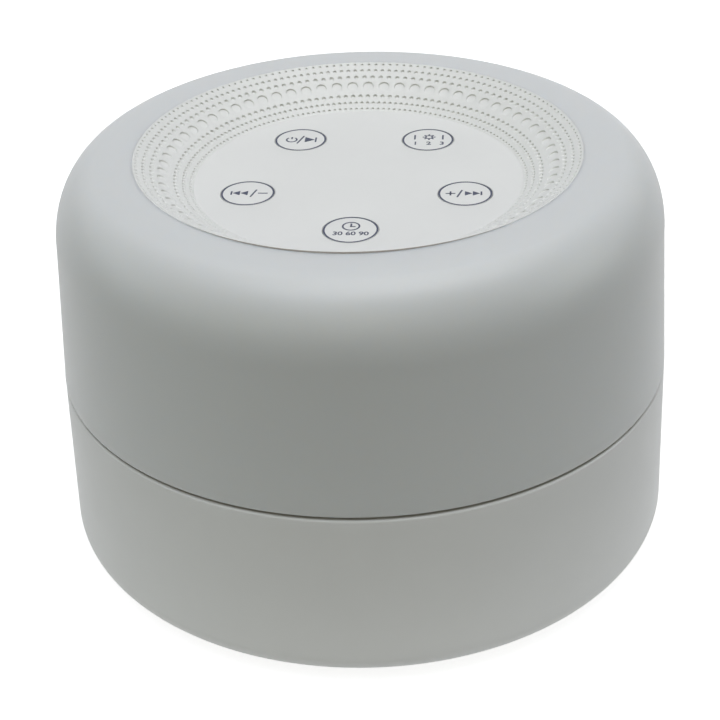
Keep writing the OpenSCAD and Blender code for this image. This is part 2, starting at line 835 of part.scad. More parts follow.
module key(index) {
    color([0.94, 0.94, 0.93]) polar(key_circle_r, [key_angles[index]]) {
        translate([0, 0, key_flange_z - 0.01]) cylinder(r = key_r, h = floor_z - key_flange_z + 0.01);
        translate([0, 0, key_flange_z - key_flange_t]) cylinder(r = key_flange_r, h = key_flange_t);
        translate([0, 0, plunger_top_z]) cylinder(r = stem_r, h = stem_l + 0.01, $fn = 48);
    }
}

base_housing();
bottom_cover();
grille_cloth();
foot(0);  // foot_right
foot(90);  // foot_back
foot(180);  // foot_left
foot(270);  // foot_front
cover_screws();
speaker_gasket();
speaker_frame();
speaker_top_plate();
speaker_magnet();
speaker_yoke();
speaker_terminals();
speaker_cone();
dust_cap();
voice_coil();
speaker_surround();
speaker_spider();
speaker_screws();
battery_cell();
battery_pads();
battery_leads();
speaker_leads();
main_board();
main_board_chips();
main_board_capacitors();
lead_sockets();
usb_c_socket();
board_screws();
chassis_plate();
chassis_screws();
light_column();
column_screws();
led_board();
leds();
led_board_screws();
led_leads();
key_ribbon();
shade();
control_dish();
dish_screws();
key_board();
key_board_screws();
switch_body(0);  // power_switch
switch_body(1);  // lamp_switch
switch_body(2);  // next_switch
switch_body(3);  // timer_switch
switch_body(4);  // previous_switch
plunger(0);  // power_plunger
plunger(1);  // lamp_plunger
plunger(2);  // next_plunger
plunger(3);  // timer_plunger
plunger(4);  // previous_plunger
key(0);  // power_key
key(1);  // lamp_key
key(2);  // next_key
key(3);  // timer_key
key(4);  // previous_key
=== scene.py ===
"""The looks of a white noise sound machine with a night lamp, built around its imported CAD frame.

Lengths are in millimetres and angles in degrees, unless a name says otherwise. A mesh is brought to
metres as it is made, so every finished piece sits at the origin with its place in its vertices.
"""

import json
import logging
import math
from dataclasses import dataclass, field
from enum import Enum

import bmesh
import bpy
import numpy as np
from mathutils import Matrix, Vector

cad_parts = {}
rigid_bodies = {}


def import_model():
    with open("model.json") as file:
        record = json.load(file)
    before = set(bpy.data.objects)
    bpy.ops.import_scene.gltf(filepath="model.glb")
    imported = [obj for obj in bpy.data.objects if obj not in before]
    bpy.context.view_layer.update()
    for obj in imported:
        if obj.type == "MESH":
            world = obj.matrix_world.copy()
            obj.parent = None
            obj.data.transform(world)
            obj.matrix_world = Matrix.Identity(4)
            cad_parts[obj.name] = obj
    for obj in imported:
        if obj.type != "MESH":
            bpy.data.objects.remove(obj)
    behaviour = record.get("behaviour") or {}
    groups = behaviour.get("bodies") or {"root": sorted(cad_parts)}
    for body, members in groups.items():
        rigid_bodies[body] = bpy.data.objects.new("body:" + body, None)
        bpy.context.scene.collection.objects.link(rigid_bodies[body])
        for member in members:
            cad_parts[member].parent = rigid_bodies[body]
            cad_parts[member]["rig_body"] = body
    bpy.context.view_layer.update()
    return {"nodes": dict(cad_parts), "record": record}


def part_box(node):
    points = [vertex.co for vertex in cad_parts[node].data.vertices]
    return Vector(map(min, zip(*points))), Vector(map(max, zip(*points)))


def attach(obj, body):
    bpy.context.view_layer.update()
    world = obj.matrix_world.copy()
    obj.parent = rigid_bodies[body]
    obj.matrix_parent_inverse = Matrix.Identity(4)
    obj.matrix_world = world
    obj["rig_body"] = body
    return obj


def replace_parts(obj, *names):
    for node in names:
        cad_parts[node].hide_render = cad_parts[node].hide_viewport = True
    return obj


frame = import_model()

MM = 0.001
BACK = 90.0
HAIR = 1e-9
WELD = 1e-7
log = logging.getLogger("sound_machine")

Colour = tuple[float, float, float]
Spot = tuple[float, float]
Socket = bpy.types.NodeSocket


# ---------------------------------------------------------------- numbers and outlines


def node_box(name: str) -> tuple[np.ndarray, np.ndarray]:
    """Lowest and highest corner of a CAD node, in millimetres."""
    low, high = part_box(name)
    return np.array(low) / MM, np.array(high) / MM


def unit(vectors: np.ndarray) -> np.ndarray:
    """Each row divided by its own length."""
    return vectors / np.maximum(np.linalg.norm(vectors, axis=-1, keepdims=True), 1e-12)


def smooth(share: np.ndarray) -> np.ndarray:
    """A share held between 0 and 1 and eased: three times its square less twice its cube."""
    held = np.clip(share, 0, 1)
    return held**2 * (3 - 2 * held)


def polar(radius: float, angle: float) -> Spot:
    """The point at a radius and an angle in degrees."""
    return radius * math.cos(math.radians(angle)), radius * math.sin(math.radians(angle))


def level(flat: np.ndarray, height: float) -> np.ndarray:
    """Flat points lifted to one height."""
    return np.column_stack([flat, np.full(len(flat), height)])


def rounded(
    corners: list[tuple[float, float, float]], steps: int = 6, closed: bool = True
) -> np.ndarray:
    """Outline through corners, each replaced by an arc that touches both of its sides.

    The arc's centre lies on the corner's bisector. A point of the arc is the centre plus the
    spherical blend of the two radii that run to the points of touch.

    Args:
        corners: Two coordinates and the rounding radius of each corner, in order.
        steps: Pieces in each arc.
        closed: Whether the last corner joins the first.

    Returns:
        The outline's points, one a row.
    """
    table = np.array(corners, float)
    place, radius = table[:, :2], table[:, 2:].copy()
    if not closed:
        radius[[0, -1]] = 0
    back = unit(np.roll(place, 1, axis=0) - place)
    ahead = unit(np.roll(place, -1, axis=0) - place)
    half = np.arccos(np.clip(np.sum(back * ahead, axis=1, keepdims=True), -1, 1)) / 2
    reach = radius / np.maximum(np.tan(half), HAIR)
    centre = place + unit(back + ahead) * radius / np.maximum(np.sin(half), HAIR)
    first, last = place + back * reach - centre, place + ahead * reach - centre
    sweep = np.pi - 2 * half
    share = np.linspace(0, 1, steps + 1)[None, :, None]
    fading, growing = np.sin((1 - share) * sweep[:, None]), np.sin(share * sweep[:, None])
    blend = fading * first[:, None] + growing * last[:, None]
    points = (centre[:, None] + blend / np.maximum(np.sin(sweep), HAIR)[:, None]).reshape(-1, 2)
    gap = np.linalg.norm(points - np.roll(points, 1, axis=0), axis=1)
    return points[(gap > 1e-6) | (np.arange(len(points)) == 0)]


def ellipse(centre: Spot, semi: Spot, turn: Spot, steps: int) -> np.ndarray:
    """Points on an elliptic arc: the centre plus the semi-axes times the turn's cosine and sine.

    Args:
        centre: The arc's centre.
        semi: The two semi-axes.
        turn: First and last angle, in degrees.
        steps: Pieces in the arc.

    Returns:
        The arc's points, one a row.
    """
    angle = np.radians(np.linspace(turn[0], turn[1], steps + 1))
    across, up = centre[0] + semi[0] * np.cos(angle), centre[1] + semi[1] * np.sin(angle)
    return np.column_stack([across, up])


def stadium(direction: np.ndarray, length: float, height: float) -> np.ndarray:
    """Where rays from the middle of a slot with round ends meet its outline.

    A ray that leaves through a flat side ends at half the height. Any other ends on the circle
    round the nearer end's centre.

    Args:
        direction: Angles of the rays, in radians.
        length: The slot's whole length.
        height: The slot's height.

    Returns:
        One point for each ray.
    """
    end, radius = (length - height) / 2, height / 2
    run, rise = np.cos(direction), np.sin(direction)
    flat = radius / np.maximum(np.abs(rise), HAIR)
    inside = np.maximum(radius**2 - (end * rise) ** 2, 0)
    ray = np.where(flat * np.abs(run) <= end, flat, end * np.abs(run) + np.sqrt(inside))
    return np.stack([ray * run, ray * rise], axis=-1)


def turned(profile: np.ndarray, angles: np.ndarray, centre: Spot = (0, 0)) -> np.ndarray:
    """Surface of revolution: radius times the angle's cosine and sine, at the profile's height.

    Args:
        profile: Radius and height of each point.
        angles: Angles round the axis, in degrees.
        centre: Where the axis stands.

    Returns:
        Points, by profile point and angle.
    """
    turn = np.radians(angles)[None, :]
    radius, height = profile[:, :1], profile[:, 1:2]
    x = centre[0] + radius * np.cos(turn)
    y = centre[1] + radius * np.sin(turn)
    return np.stack([x, y, np.broadcast_to(height, x.shape)], axis=-1)


def walk_round(across: np.ndarray, up: np.ndarray) -> np.ndarray:
    """Border of a rectangular grid: along its low side, up, back along its high side, and down.

    Args:
        across: First coordinate of the grid's columns.
        up: Second coordinate of its rows.

    Returns:
        The border's points in that order, one a row, with no corner twice.
    """
    low = np.column_stack([across[:-1], np.full(len(across) - 1, up[0])])
    right = np.column_stack([np.full(len(up) - 1, across[-1]), up[:-1]])
    high = np.column_stack([across[::-1][:-1], np.full(len(across) - 1, up[-1])])
    left = np.column_stack([np.full(len(up) - 1, across[0]), up[::-1][:-1]])
    return np.vstack([low, right, high, left])


# ---------------------------------------------------------------- meshes


class Solid:
    """Collects surfaces in millimetres and makes one closed mesh of them."""

    def __init__(self) -> None:
        """Starts with no surface."""
        self.points: list[np.ndarray] = []
        self.faces: list[np.ndarray] = []
        self.count = 0

    def place(self, points: np.ndarray) -> np.ndarray:
        """Adds points.

        Args:
            points: The points, in any layout.

        Returns:
            Their numbers, in the same layout.
        """
        number = self.count + np.arange(points[..., 0].size).reshape(points.shape[:-1])
        self.points.append(points.reshape(-1, 3))
        self.count += number.size
        return number

    def grid(
        self, points: np.ndarray, wrap: bool = False, keep: np.ndarray | None = None
    ) -> None:
        """Skins a grid of points with quads.

        Args:
            points: Points by row and column, with any number of such grids in front.
            wrap: Whether the last column joins the first.
            keep: Which quads to make, by row and column.
        """
        number = self.place(points)
        if wrap:
            number = np.concatenate([number, number[..., :1]], axis=-1)
        near, far = number[..., :-1, :], number[..., 1:, :]
        quads = np.stack([near[..., :-1], near[..., 1:], far[..., 1:], far[..., :-1]], axis=-1)
        self.faces.append((quads if keep is None else quads[keep]).reshape(-1, 4))

    def revolve(
        self, profile: np.ndarray, segments: int, centre: Spot = (0, 0), closed: bool = True
    ) -> None:
        """Turns a profile into a ring, or into a plug if both of its ends lie on the axis.

        Args:
            profile: Radius and height of each point.
            segments: Pieces round the axis.
            centre: Where the axis stands.
            closed: Whether the last point joins the first.
        """
        loop = np.vstack([profile, profile[:1]]) if closed else profile
        self.grid(turned(loop, np.arange(segments) * 360 / segments, centre), wrap=True)

    def cap(self, rings: np.ndarray) -> None:
        """Fills each ring of points with one face."""
        self.faces.append(self.place(rings).reshape(-1, rings.shape[-2]))

    def fan(self, rings: np.ndarray, centres: np.ndarray) -> None:
        """Fills each ring of points with triangles that meet at its centre.

        Args:
            rings: Points by ring.
            centres: One point for each ring.
        """
        rim, hub = self.place(rings), self.place(centres)
        middle = np.broadcast_to(hub[..., None], rim.shape)
        corner = np.stack([rim, np.roll(rim, -1, axis=-1), middle], axis=-1)
        self.faces.append(corner.reshape(-1, 3))

    def tube(self, rings: np.ndarray) -> None:
        """Skins a row of rings and closes both of its ends."""
        self.grid(rings, wrap=True)
        self.cap(rings[:1])
        self.cap(rings[-1:])

    def prism(self, outline: np.ndarray, low: float, high: float) -> None:
        """Raises a flat outline from one height to another, with a face at each end."""
        self.tube(np.stack([level(outline, low), level(outline, high)]))

    def draw_in(self, inward: float, down: float, radii: Spot, heights: Spot) -> None:
        """Draws the front of a rim towards the axis and down, most at its middle.

        The share is the square of how squarely a point faces the front, eased in over the radii
        and the heights. A point moves inwards by the share, and down by the share's square.

        Args:
            inward: Greatest distance towards the axis.
            down: Greatest distance down.
            radii: Radii between which the share grows from nothing to full.
            heights: Heights between which it does the same.
        """
        points = np.vstack(self.points)
        radius = np.maximum(np.hypot(points[:, 0], points[:, 1]), 1e-6)
        share = np.clip(-points[:, 1] / radius, 0, 1) ** 2
        for value, (none, full) in ((radius, radii), (points[:, 2], heights)):
            share = share * smooth((value - none) / (full - none))
        points[:, :2] *= (1 - inward * share / radius)[:, None]
        points[:, 2] -= down * share**2
        self.points = [points]

    def make(
        self, name: str, body: str, finish: "Finish", sharp: float = 35.0
    ) -> bpy.types.Object:
        """Makes the piece, welds its surfaces together and lets it ride.

        Args:
            name: The piece's name.
            body: The CAD body that it rides on.
            finish: Its finish.
            sharp: Faces that meet at more than this angle keep a crisp edge.

        Returns:
            The finished object.
        """
        corner = np.concatenate([f.ravel() for f in self.faces])
        size = np.concatenate([np.full(len(f), f.shape[1]) for f in self.faces])
        place = np.vstack(self.points) * MM
        mesh = bpy.data.meshes.new(name)
        mesh.vertices.add(len(place))
        mesh.vertices.foreach_set("co", place.astype(np.float32).ravel())
        mesh.loops.add(len(corner))
        mesh.loops.foreach_set("vertex_index", corner.astype(np.int32))
        mesh.polygons.add(len(size))
        mesh.polygons.foreach_set("loop_start", (np.cumsum(size) - size).astype(np.int32))
        mesh.update(calc_edges=True)
        return dress(finished(mesh, name, sharp), body, finish)


def finished(
    mesh: bpy.types.Mesh, name: str, sharp: float, dissolve: bool = False
) -> bpy.types.Object:
    """Welds a mesh, turns its faces outwards, shades it and puts it in the scene.

    Args:
        mesh: The mesh, in metres.
        name: The object's name.
        sharp: Faces that meet at more than this angle keep a crisp edge, in degrees.
        dissolve: Whether triangles that lie in one plane become one face.

    Returns:
        The object.
    """
    work = bmesh.new()
    work.from_mesh(mesh)
    bmesh.ops.remove_doubles(work, verts=work.verts, dist=WELD)
    if dissolve:
        bmesh.ops.dissolve_limit(
            work, angle_limit=math.radians(0.2), verts=work.verts, edges=work.edges
        )
    bmesh.ops.recalc_face_normals(work, faces=work.faces)
    work.to_mesh(mesh)
    work.free()
    mesh.polygons.foreach_set("use_smooth", np.ones(len(mesh.polygons), bool))
    mesh.set_sharp_from_angle(angle=math.radians(sharp))
    obj = bpy.data.objects.new(name, mesh)
    bpy.context.scene.collection.objects.link(obj)
    return obj


def dress(obj: bpy.types.Object, body: str, finish: "Finish") -> bpy.types.Object:
    """Gives a piece its material and the body that it rides on.

    Args:
        obj: The piece.
        body: The CAD body.
        finish: The piece's finish.

    Returns:
        The piece.
    """
    obj.data.materials.clear()
    obj.data.materials.append(finish.material())
    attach(obj, body)
    log.info("%s: %d faces on %s", obj.name, len(obj.data.polygons), body)
    return obj


def softened(node: str, finish: "Finish", edge: float, sharp: float = 35.0) -> bpy.types.Object:
    """A copy of a CAD node with its flat faces joined and its edges rounded, in the node's place.

    Args:
        node: The CAD node.
        finish: The copy's finish.
        edge: Width of the rounded edges.
        sharp: Edges sharper than this angle are rounded, in degrees.

    Returns:
        The copy.
    """
    source = frame["nodes"][node]
    obj = finished(source.data.copy(), node + "_piece", sharp, dissolve=True)
    bevel = obj.modifiers.new("edges", "BEVEL")
    bevel.width = edge * MM
    bevel.segments = 2
    bevel.limit_method = "ANGLE"
    bevel.angle_limit = math.radians(sharp)
    bevel.use_clamp_overlap = True
    bevel.harden_normals = False
    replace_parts(obj, node)
    return dress(obj, source["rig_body"], finish)


# ---------------------------------------------------------------- shader node groups


class Graph:
    """Adds nodes to a node tree and joins them."""

    def __init__(self, tree: bpy.types.NodeTree) -> None:
        """Works on the given tree."""
        self.tree = tree

    def add(
        self, kind: str, inputs: dict[str | int, object] | None = None, **settings: object
    ) -> bpy.types.Node:
        """Adds a node.

        Args:
            kind: Blender's name of the node's type.
            inputs: A value, or the socket to join, for each named or numbered input.
            settings: The node's own settings.

        Returns:
            The node.
        """
        made = self.tree.nodes.new(kind)
        for key, value in settings.items():
            setattr(made, key, value)
        for key, value in (inputs or {}).items():
            if isinstance(value, bpy.types.NodeSocket):
                self.tree.links.new(value, made.inputs[key])
            else:
                made.inputs[key].default_value = value
        return made

    def math(self, operation: str, *values: object) -> Socket:
        """The result of a Math node on the given numbers or sockets."""
        return self.add("ShaderNodeMath", dict(enumerate(values)), operation=operation).outputs[0]

    def mix(self, share: Socket, first: object, second: object) -> Socket:
        """The second colour laid over the first by a share."""
        inputs = {0: share, 6: first, 7: second}
        return self.add("ShaderNodeMix", inputs, data_type="RGBA").outputs[2]

    def noise(
        self, place: Socket, scale: object, detail: float = 2.0, rough: float = 0.5
    ) -> Socket:
        """Noise from 0 to 1 at a scale in features per metre."""
        inputs = {"Vector": place, "Scale": scale, "Detail": detail, "Roughness": rough}
        return self.add("ShaderNodeTexNoise", inputs).outputs["Fac"]

    def spread(
        self, value: Socket, low: float, high: float, to_low: float = 0.0, to_high: float = 1.0
    ) -> Socket:
        """A value carried from one range to another, and held inside it.

        Args:
            value: The value.
            low: Start of the range that it comes from.
            high: End of that range.
            to_low: What the start becomes.
            to_high: What the end becomes.

        Returns:
            The value in its new range.
        """
        inputs = {
            "Value": value, "From Min": low, "From Max": high, "To Min": to_low, "To Max": to_high,
        }
        return self.add("ShaderNodeMapRange", inputs, clamp=True).outputs[0]

    def stretch(self, place: Socket, scale: Colour) -> Socket:
        """A place with each of its axes scaled."""
        inputs = {0: place, 1: scale}
        return self.add("ShaderNodeVectorMath", inputs, operation="MULTIPLY").outputs[0]

    def length(self, place: Socket) -> Socket:
        """How far a place is from the origin."""
        return self.add("ShaderNodeVectorMath", {0: place}, operation="LENGTH").outputs["Value"]

    def axes(self, place: Socket) -> tuple[Socket, Socket, Socket]:
        """The x, y and z of a place."""
        split = self.add("ShaderNodeSeparateXYZ", {0: place})
        return split.outputs[0], split.outputs[1], split.outputs[2]

    def place(self) -> Socket:
        """The place of the shaded point in its object."""
        return self.add("ShaderNodeTexCoord").outputs["Object"]

    def upward(self) -> Socket:
        """How squarely the surface faces up: the height of its normal."""
        return self.axes(self.add("ShaderNodeNewGeometry").outputs["Normal"])[2]

    def group(self, tree: bpy.types.NodeTree, inputs: dict[str, object]) -> bpy.types.Node:
        """Places a node group with its own values."""
        return self.add("ShaderNodeGroup", inputs, node_tree=tree)

    def seen(self) -> Socket:
        """1 for rays from the camera, a glossy face or through a clear one, and 0 for others."""
        path = self.add("ShaderNodeLightPath").outputs
        direct = self.math("MAXIMUM", path["Is Camera Ray"], path["Is Glossy Ray"])
        return self.math("MAXIMUM", direct, path["Is Transmission Ray"])


def new_group(
    name: str, inputs: dict[str, object], outputs: dict[str, str]
) -> tuple[Graph, dict[str, Socket], bpy.types.Node]:
    """Starts a shader node group.

    Args:
        name: The group's name.
        inputs: The first value of each input, a number or a colour.
        outputs: The kind of each output, Float or Color.

    Returns:
        The group's graph, its inputs by name, and its output node.
    """
    tree = bpy.data.node_groups.new(name, "ShaderNodeTree")
    for label, value in inputs.items():
        kind = "NodeSocketFloat" if isinstance(value, float) else "NodeSocketColor"
        tree.interface.new_socket(label, in_out="INPUT", socket_type=kind).default_value = value
    for label, kind in outputs.items():
        tree.interface.new_socket(label, in_out="OUTPUT", socket_type="NodeSocket" + kind)
    graph = Graph(tree)
    entry = graph.add("NodeGroupInput")
    sockets = {socket.name: socket for socket in entry.outputs if socket.name}
    return graph, sockets, graph.add("NodeGroupOutput")


class Pattern(Enum):
    """The small structure of a surface."""

    GRAIN = "grain"
    WEAVE = "weave"
    BRUSHED = "brushed"
    TRACES = "traces"
    FIBRE = "fibre"
    WINDING = "winding"
    BANDS = "bands"
    PAIR = "pair"


class Relief:
    """One pattern, drawn in a node group of its own as a height and a mask, both from 0 to 1."""

    made: dict[Pattern, bpy.types.NodeTree] = {}

    def __init__(self, pattern: Pattern) -> None:
        """Builds the pattern's group, whose one input is a scale in features per metre.

        Args:
            pattern: The pattern.
        """
        self.graph, inputs, output = new_group(
            "pattern_" + pattern.value, {"Scale": 1000.0}, {"Height": "Float", "Mask": "Float"}
        )
        self.place, self.scale = self.graph.place(), inputs["Scale"]
        for label, socket in zip(("Height", "Mask"), getattr(self, pattern.value)()):
            self.graph.tree.links.new(socket, output.inputs[label])

    @classmethod
    def group(cls, pattern: Pattern) -> bpy.types.NodeTree:
        """The pattern's node group, made the first time that it is asked for.

        Args:
            pattern: The pattern.

        Returns:
            Its node group.
        """
        if pattern not in cls.made:
            cls.made[pattern] = cls(pattern).graph.tree
        return cls.made[pattern]

    def times(self, factor: float) -> Socket:
        """The pattern's scale times a factor."""
        return self.graph.math("MULTIPLY", self.scale, factor)

    def ridge(self, phase: Socket) -> Socket:
        """A rounded ridge over one turn: the sine of half a circle's share."""
        return self.graph.math("SINE", self.graph.math("MULTIPLY", phase, math.pi))

    def grain(self) -> tuple[Socket, Socket]:
        """Spark-eroded mould texture: fine noise, with a soft mottle as the mask.

        Returns:
            The height and the mask.
        """
        slow = self.graph.noise(self.place, self.times(0.04))
        fine = self.graph.noise(self.place, self.scale, 3.0, 0.6)
        return fine, self.graph.spread(slow, 0.35, 0.65)

    def weave(self) -> tuple[Socket, Socket]:
        """Plain weave: rounded threads that pass over and under by a chequer of thread cells.

        Returns:
            The height and the mask.
        """
        graph = self.graph
        x, y, _ = graph.axes(self.place)
        across, along = (graph.math("MULTIPLY", way, self.scale) for way in (x, y))
        cells = graph.math("ADD", graph.math("FLOOR", across), graph.math("FLOOR", along))
        chequer = graph.math("PINGPONG", cells, 1.0)
        warp, weft = (self.ridge(graph.math("FRACT", way)) for way in (across, along))
        over = graph.math("MULTIPLY", warp, chequer)
        under = graph.math("MULTIPLY", weft, graph.math("SUBTRACT", 1.0, chequer))
        return graph.math("ADD", over, under), chequer

    def brushed(self) -> tuple[Socket, Socket]:
        """Drawn or plated metal: noise stretched along one axis, over slow blotches.

        Returns:
            The height and the mask.
        """
        blotches = self.graph.noise(self.place, self.times(0.1), 3.0)
        lines = self.graph.noise(self.graph.stretch(self.place, (0.04, 1.0, 0.6)), self.scale)
        return lines, self.graph.spread(blotches, 0.4, 0.7)

    def traces(self) -> tuple[Socket, Socket]:
        """Circuit tracks: the borders of square-metric cells, with a pad at each cell's heart.

        Returns:
            The height and the mask, which are the same here.
        """
        nearest, second = (
            self.graph.add(
                "ShaderNodeTexVoronoi",
                {"Vector": self.place, "Scale": self.scale, "Randomness": 0.8},
                feature=feature, distance="CHEBYCHEV", voronoi_dimensions="2D",
            ).outputs["Distance"]
            for feature in ("F1", "F2")
        )
        border = self.graph.math("SUBTRACT", second, nearest)
        track = self.graph.spread(border, 0.05, 0.09, 1.0, 0.0)
        pad = self.graph.spread(nearest, 0.1, 0.13, 1.0, 0.0)
        drawn = self.graph.math("MAXIMUM", track, pad)
        return drawn, drawn

    def fibre(self) -> tuple[Socket, Socket]:
        """Pressed paper or foam: rough noise with sparse lighter fibres.

        Returns:
            The height and the mask.
        """
        long = self.graph.stretch(self.place, (0.2, 1.0, 1.0))
        hairs = self.graph.noise(long, self.times(1.7), 1.0)
        rough = self.graph.noise(self.place, self.scale, 6.0, 0.7)
        return rough, self.graph.spread(hairs, 0.6, 0.72)

    def winding(self) -> tuple[Socket, Socket]:
        """Turns of wire, stacked along z as rounded ridges.

        Returns:
            The height and the mask.
        """
        turns = self.graph.math("MULTIPLY", self.graph.axes(self.place)[2], self.scale)
        ridge = self.ridge(self.graph.math("FRACT", turns))
        return ridge, self.graph.spread(ridge, 0.0, 0.4, 1.0, 0.0)

    def bands(self) -> tuple[Socket, Socket]:
        """Flat conductors side by side along x, under a film.

        Returns:
            The height and the mask, which are the same here.
        """
        pitches = self.graph.math("MULTIPLY", self.graph.axes(self.place)[0], self.scale)
        band = self.graph.spread(self.graph.math("PINGPONG", pitches, 1.0), 0.45, 0.55)
        return band, band

    def pair(self) -> tuple[Socket, Socket]:
        """Two leads on either side of the plane y = 0, with extruded insulation.

        Returns:
            The height and the mask.
        """
        side = self.graph.math("GREATER_THAN", 0.0, self.graph.axes(self.place)[1])
        return self.graph.noise(self.place, self.scale), side


@dataclass
class Effects:
    """Node groups that many finishes share: slow tone drift with dust, painted shade and uneven
    gloss.
    """

    dust: Colour = (0.42, 0.40, 0.37)
    # Grey-brown of the painted shade in the seam, on the dimples' walls and in the dish's front
    # joint.
    shade_tint: Colour = (0.31, 0.265, 0.235)
    seam_z: float = 39.0
    seam_radius: float = 61.5
    dish_foot_radius: float = 32.3
    dish_foot_z: float = 77.2
    dish_rise: float = 0.5575
    dish_joint: float = 43.7
    dish_mouth: float = 44.0
    front_full: float = -38.5
    front_none: float = -31.0

    def __post_init__(self) -> None:
        """Makes the groups."""
        self.tone = self.make_tone()
        self.painted_shade = self.make_painted_shade()
        self.gloss = self.make_gloss()

    def make_tone(self) -> bpy.types.NodeTree:
        """Two colours mixed by a mask, with slow drift in brightness and dust on upward faces.

        Returns:
            The node group.
        """
        numbers = {"Mask": 0.0, "Drift": 0.03, "Dust": 0.02}
        graph, inputs, output = new_group(
            "tone",
            {"Colour": (0.8, 0.8, 0.8, 1.0), "Second": (0.7, 0.7, 0.7, 1.0), **numbers},
            {"Colour": "Color"},
        )
        place, mixed = graph.place(), graph.mix(inputs["Mask"], inputs["Colour"], inputs["Second"])
        slow = graph.math("SUBTRACT", graph.noise(place, 45.0, 3.0), 0.5)
        value = graph.math("ADD", 1.0, graph.math("MULTIPLY", slow, inputs["Drift"]))
        shades = {"Value": value, "Color": mixed}
        drifted = graph.add("ShaderNodeHueSaturation", shades).outputs[0]
        specks = graph.spread(graph.noise(place, 900.0, 4.0, 0.7), 0.56, 0.72)
        lying = graph.math("MULTIPLY", specks, graph.spread(graph.upward(), 0.2, 0.9))
        settled = graph.math("MULTIPLY", lying, inputs["Dust"])
        dusty = graph.mix(settled, drifted, (*self.dust, 1.0))
        graph.tree.links.new(dusty, output.inputs["Colour"])
        return graph.tree

    @staticmethod
    def past(graph: Graph, value: Socket, low: float, high: float, fall: bool = False) -> Socket:
        """A share of a length in metres that grows from 0 to 1 over a range in millimetres.

        Args:
            graph: Where the nodes go.
            value: The length.
            low: The range's start.
            high: The range's end.
            fall: Whether the share falls from 1 to 0 instead.

        Returns:
            The share.
        """
        ends = (1.0, 0.0) if fall else (0.0, 1.0)
        return graph.spread(value, low * MM, high * MM, *ends)

    def make_painted_shade(self) -> bpy.types.NodeTree:
        """Painted shade, grey-brown: it darkens the seam's gap, the steep sides of the dimples and
        the dish's joint, where shade falls.

        In the seam it lies near the seam's height and behind the outer face, from which a little
        more is taken off just under the seam. In the dish it lies on steep faces under the cone
        that the sloping wall follows, so its share grows with the cone's height less the height of
        the place. The joint between dish and shade gets painted shade at the front alone.

        Returns:
            The node group.
        """
        graph, inputs, output = new_group(
            "painted_shade",
            {"Colour": (0.8, 0.8, 0.8, 1.0), "ShadeTint": (*self.shade_tint, 1.0), "Amount": 1.0},
            {"Colour": "Color"},
        )
        place = graph.place()
        _, y, height = graph.axes(place)
        radius = graph.length(graph.stretch(place, (1, 1, 0)))
        # Painted shade in the seam's gap: near the seam's height and behind the outer face.
        apart = graph.math("ABSOLUTE", graph.math("SUBTRACT", height, self.seam_z * MM))
        brim = graph.spread(
            height, (self.seam_z - 0.25) * MM, (self.seam_z - 0.1) * MM, 0.5 * MM, 0.2 * MM
        )
        face = graph.math("ADD", radius, brim)
        behind = self.past(graph, graph.math("SUBTRACT", self.seam_radius * MM, face), -0.1, 0.1)
        seam = graph.math("MULTIPLY", self.past(graph, apart, 0.35, 0.55, fall=True), behind)
        # Painted shade on the dimples' steep walls, which lie under the sloping wall's cone.
        run = graph.math("SUBTRACT", radius, self.dish_foot_radius * MM)
        rise = graph.math("MULTIPLY", run, self.dish_rise)
        cone = graph.math("ADD", rise, self.dish_foot_z * MM)
        sunk = self.past(graph, graph.math("SUBTRACT", cone, height), 0.08, 0.35)
        steep = graph.spread(graph.upward(), 0.45, 0.7, 1.0, 0.0)
        # Painted shade in the joint between dish and shade, at the front alone.
        front = self.past(graph, y, self.front_full, self.front_none, fall=True)
        edge = graph.spread(front, 0.0, 1.0, self.dish_joint * MM, self.dish_mouth * MM)
        inside = self.past(graph, graph.math("SUBTRACT", radius, edge), 0.0, 0.1, fall=True)
        rim = self.past(graph, radius, self.dish_joint - 1.1, self.dish_joint - 0.9)
        joint = graph.math("MULTIPLY", front, rim)
        lying = graph.math("MAXIMUM", graph.math("MULTIPLY", sunk, 0.5), joint)
        dish = graph.math("MULTIPLY", graph.math("MULTIPLY", lying, steep), inside)
        share = graph.math("MULTIPLY", graph.math("MAXIMUM", seam, dish), inputs["Amount"])
        # The painted shade's grey-brown is laid over the colour by its share.
        shaded_colour = graph.mix(share, inputs["Colour"], inputs["ShadeTint"])
        graph.tree.links.new(shaded_colour, output.inputs["Colour"])
        return graph.tree

    def make_gloss(self) -> bpy.types.NodeTree:
        """Roughness that swings round its base value with slow noise and the pattern's height.

        Returns:
            The node group.
        """
        graph, inputs, output = new_group(
            "gloss", {"Base": 0.5, "Swing": 0.05, "Height": 0.5}, {"Roughness": "Float"}
        )
        slow = graph.math("SUBTRACT", graph.noise(graph.place(), 130.0, 4.0, 0.6), 0.5)
        fine = graph.math("SUBTRACT", inputs["Height"], 0.5)
        both = graph.math("ADD", graph.math("MULTIPLY", slow, 1.6), fine)
        swing = graph.math("MULTIPLY", both, inputs["Swing"])
        rough = graph.math("ADD", inputs["Base"], swing)
        graph.tree.links.new(rough, output.inputs["Roughness"])
        return graph.tree


EFFECTS = Effects()


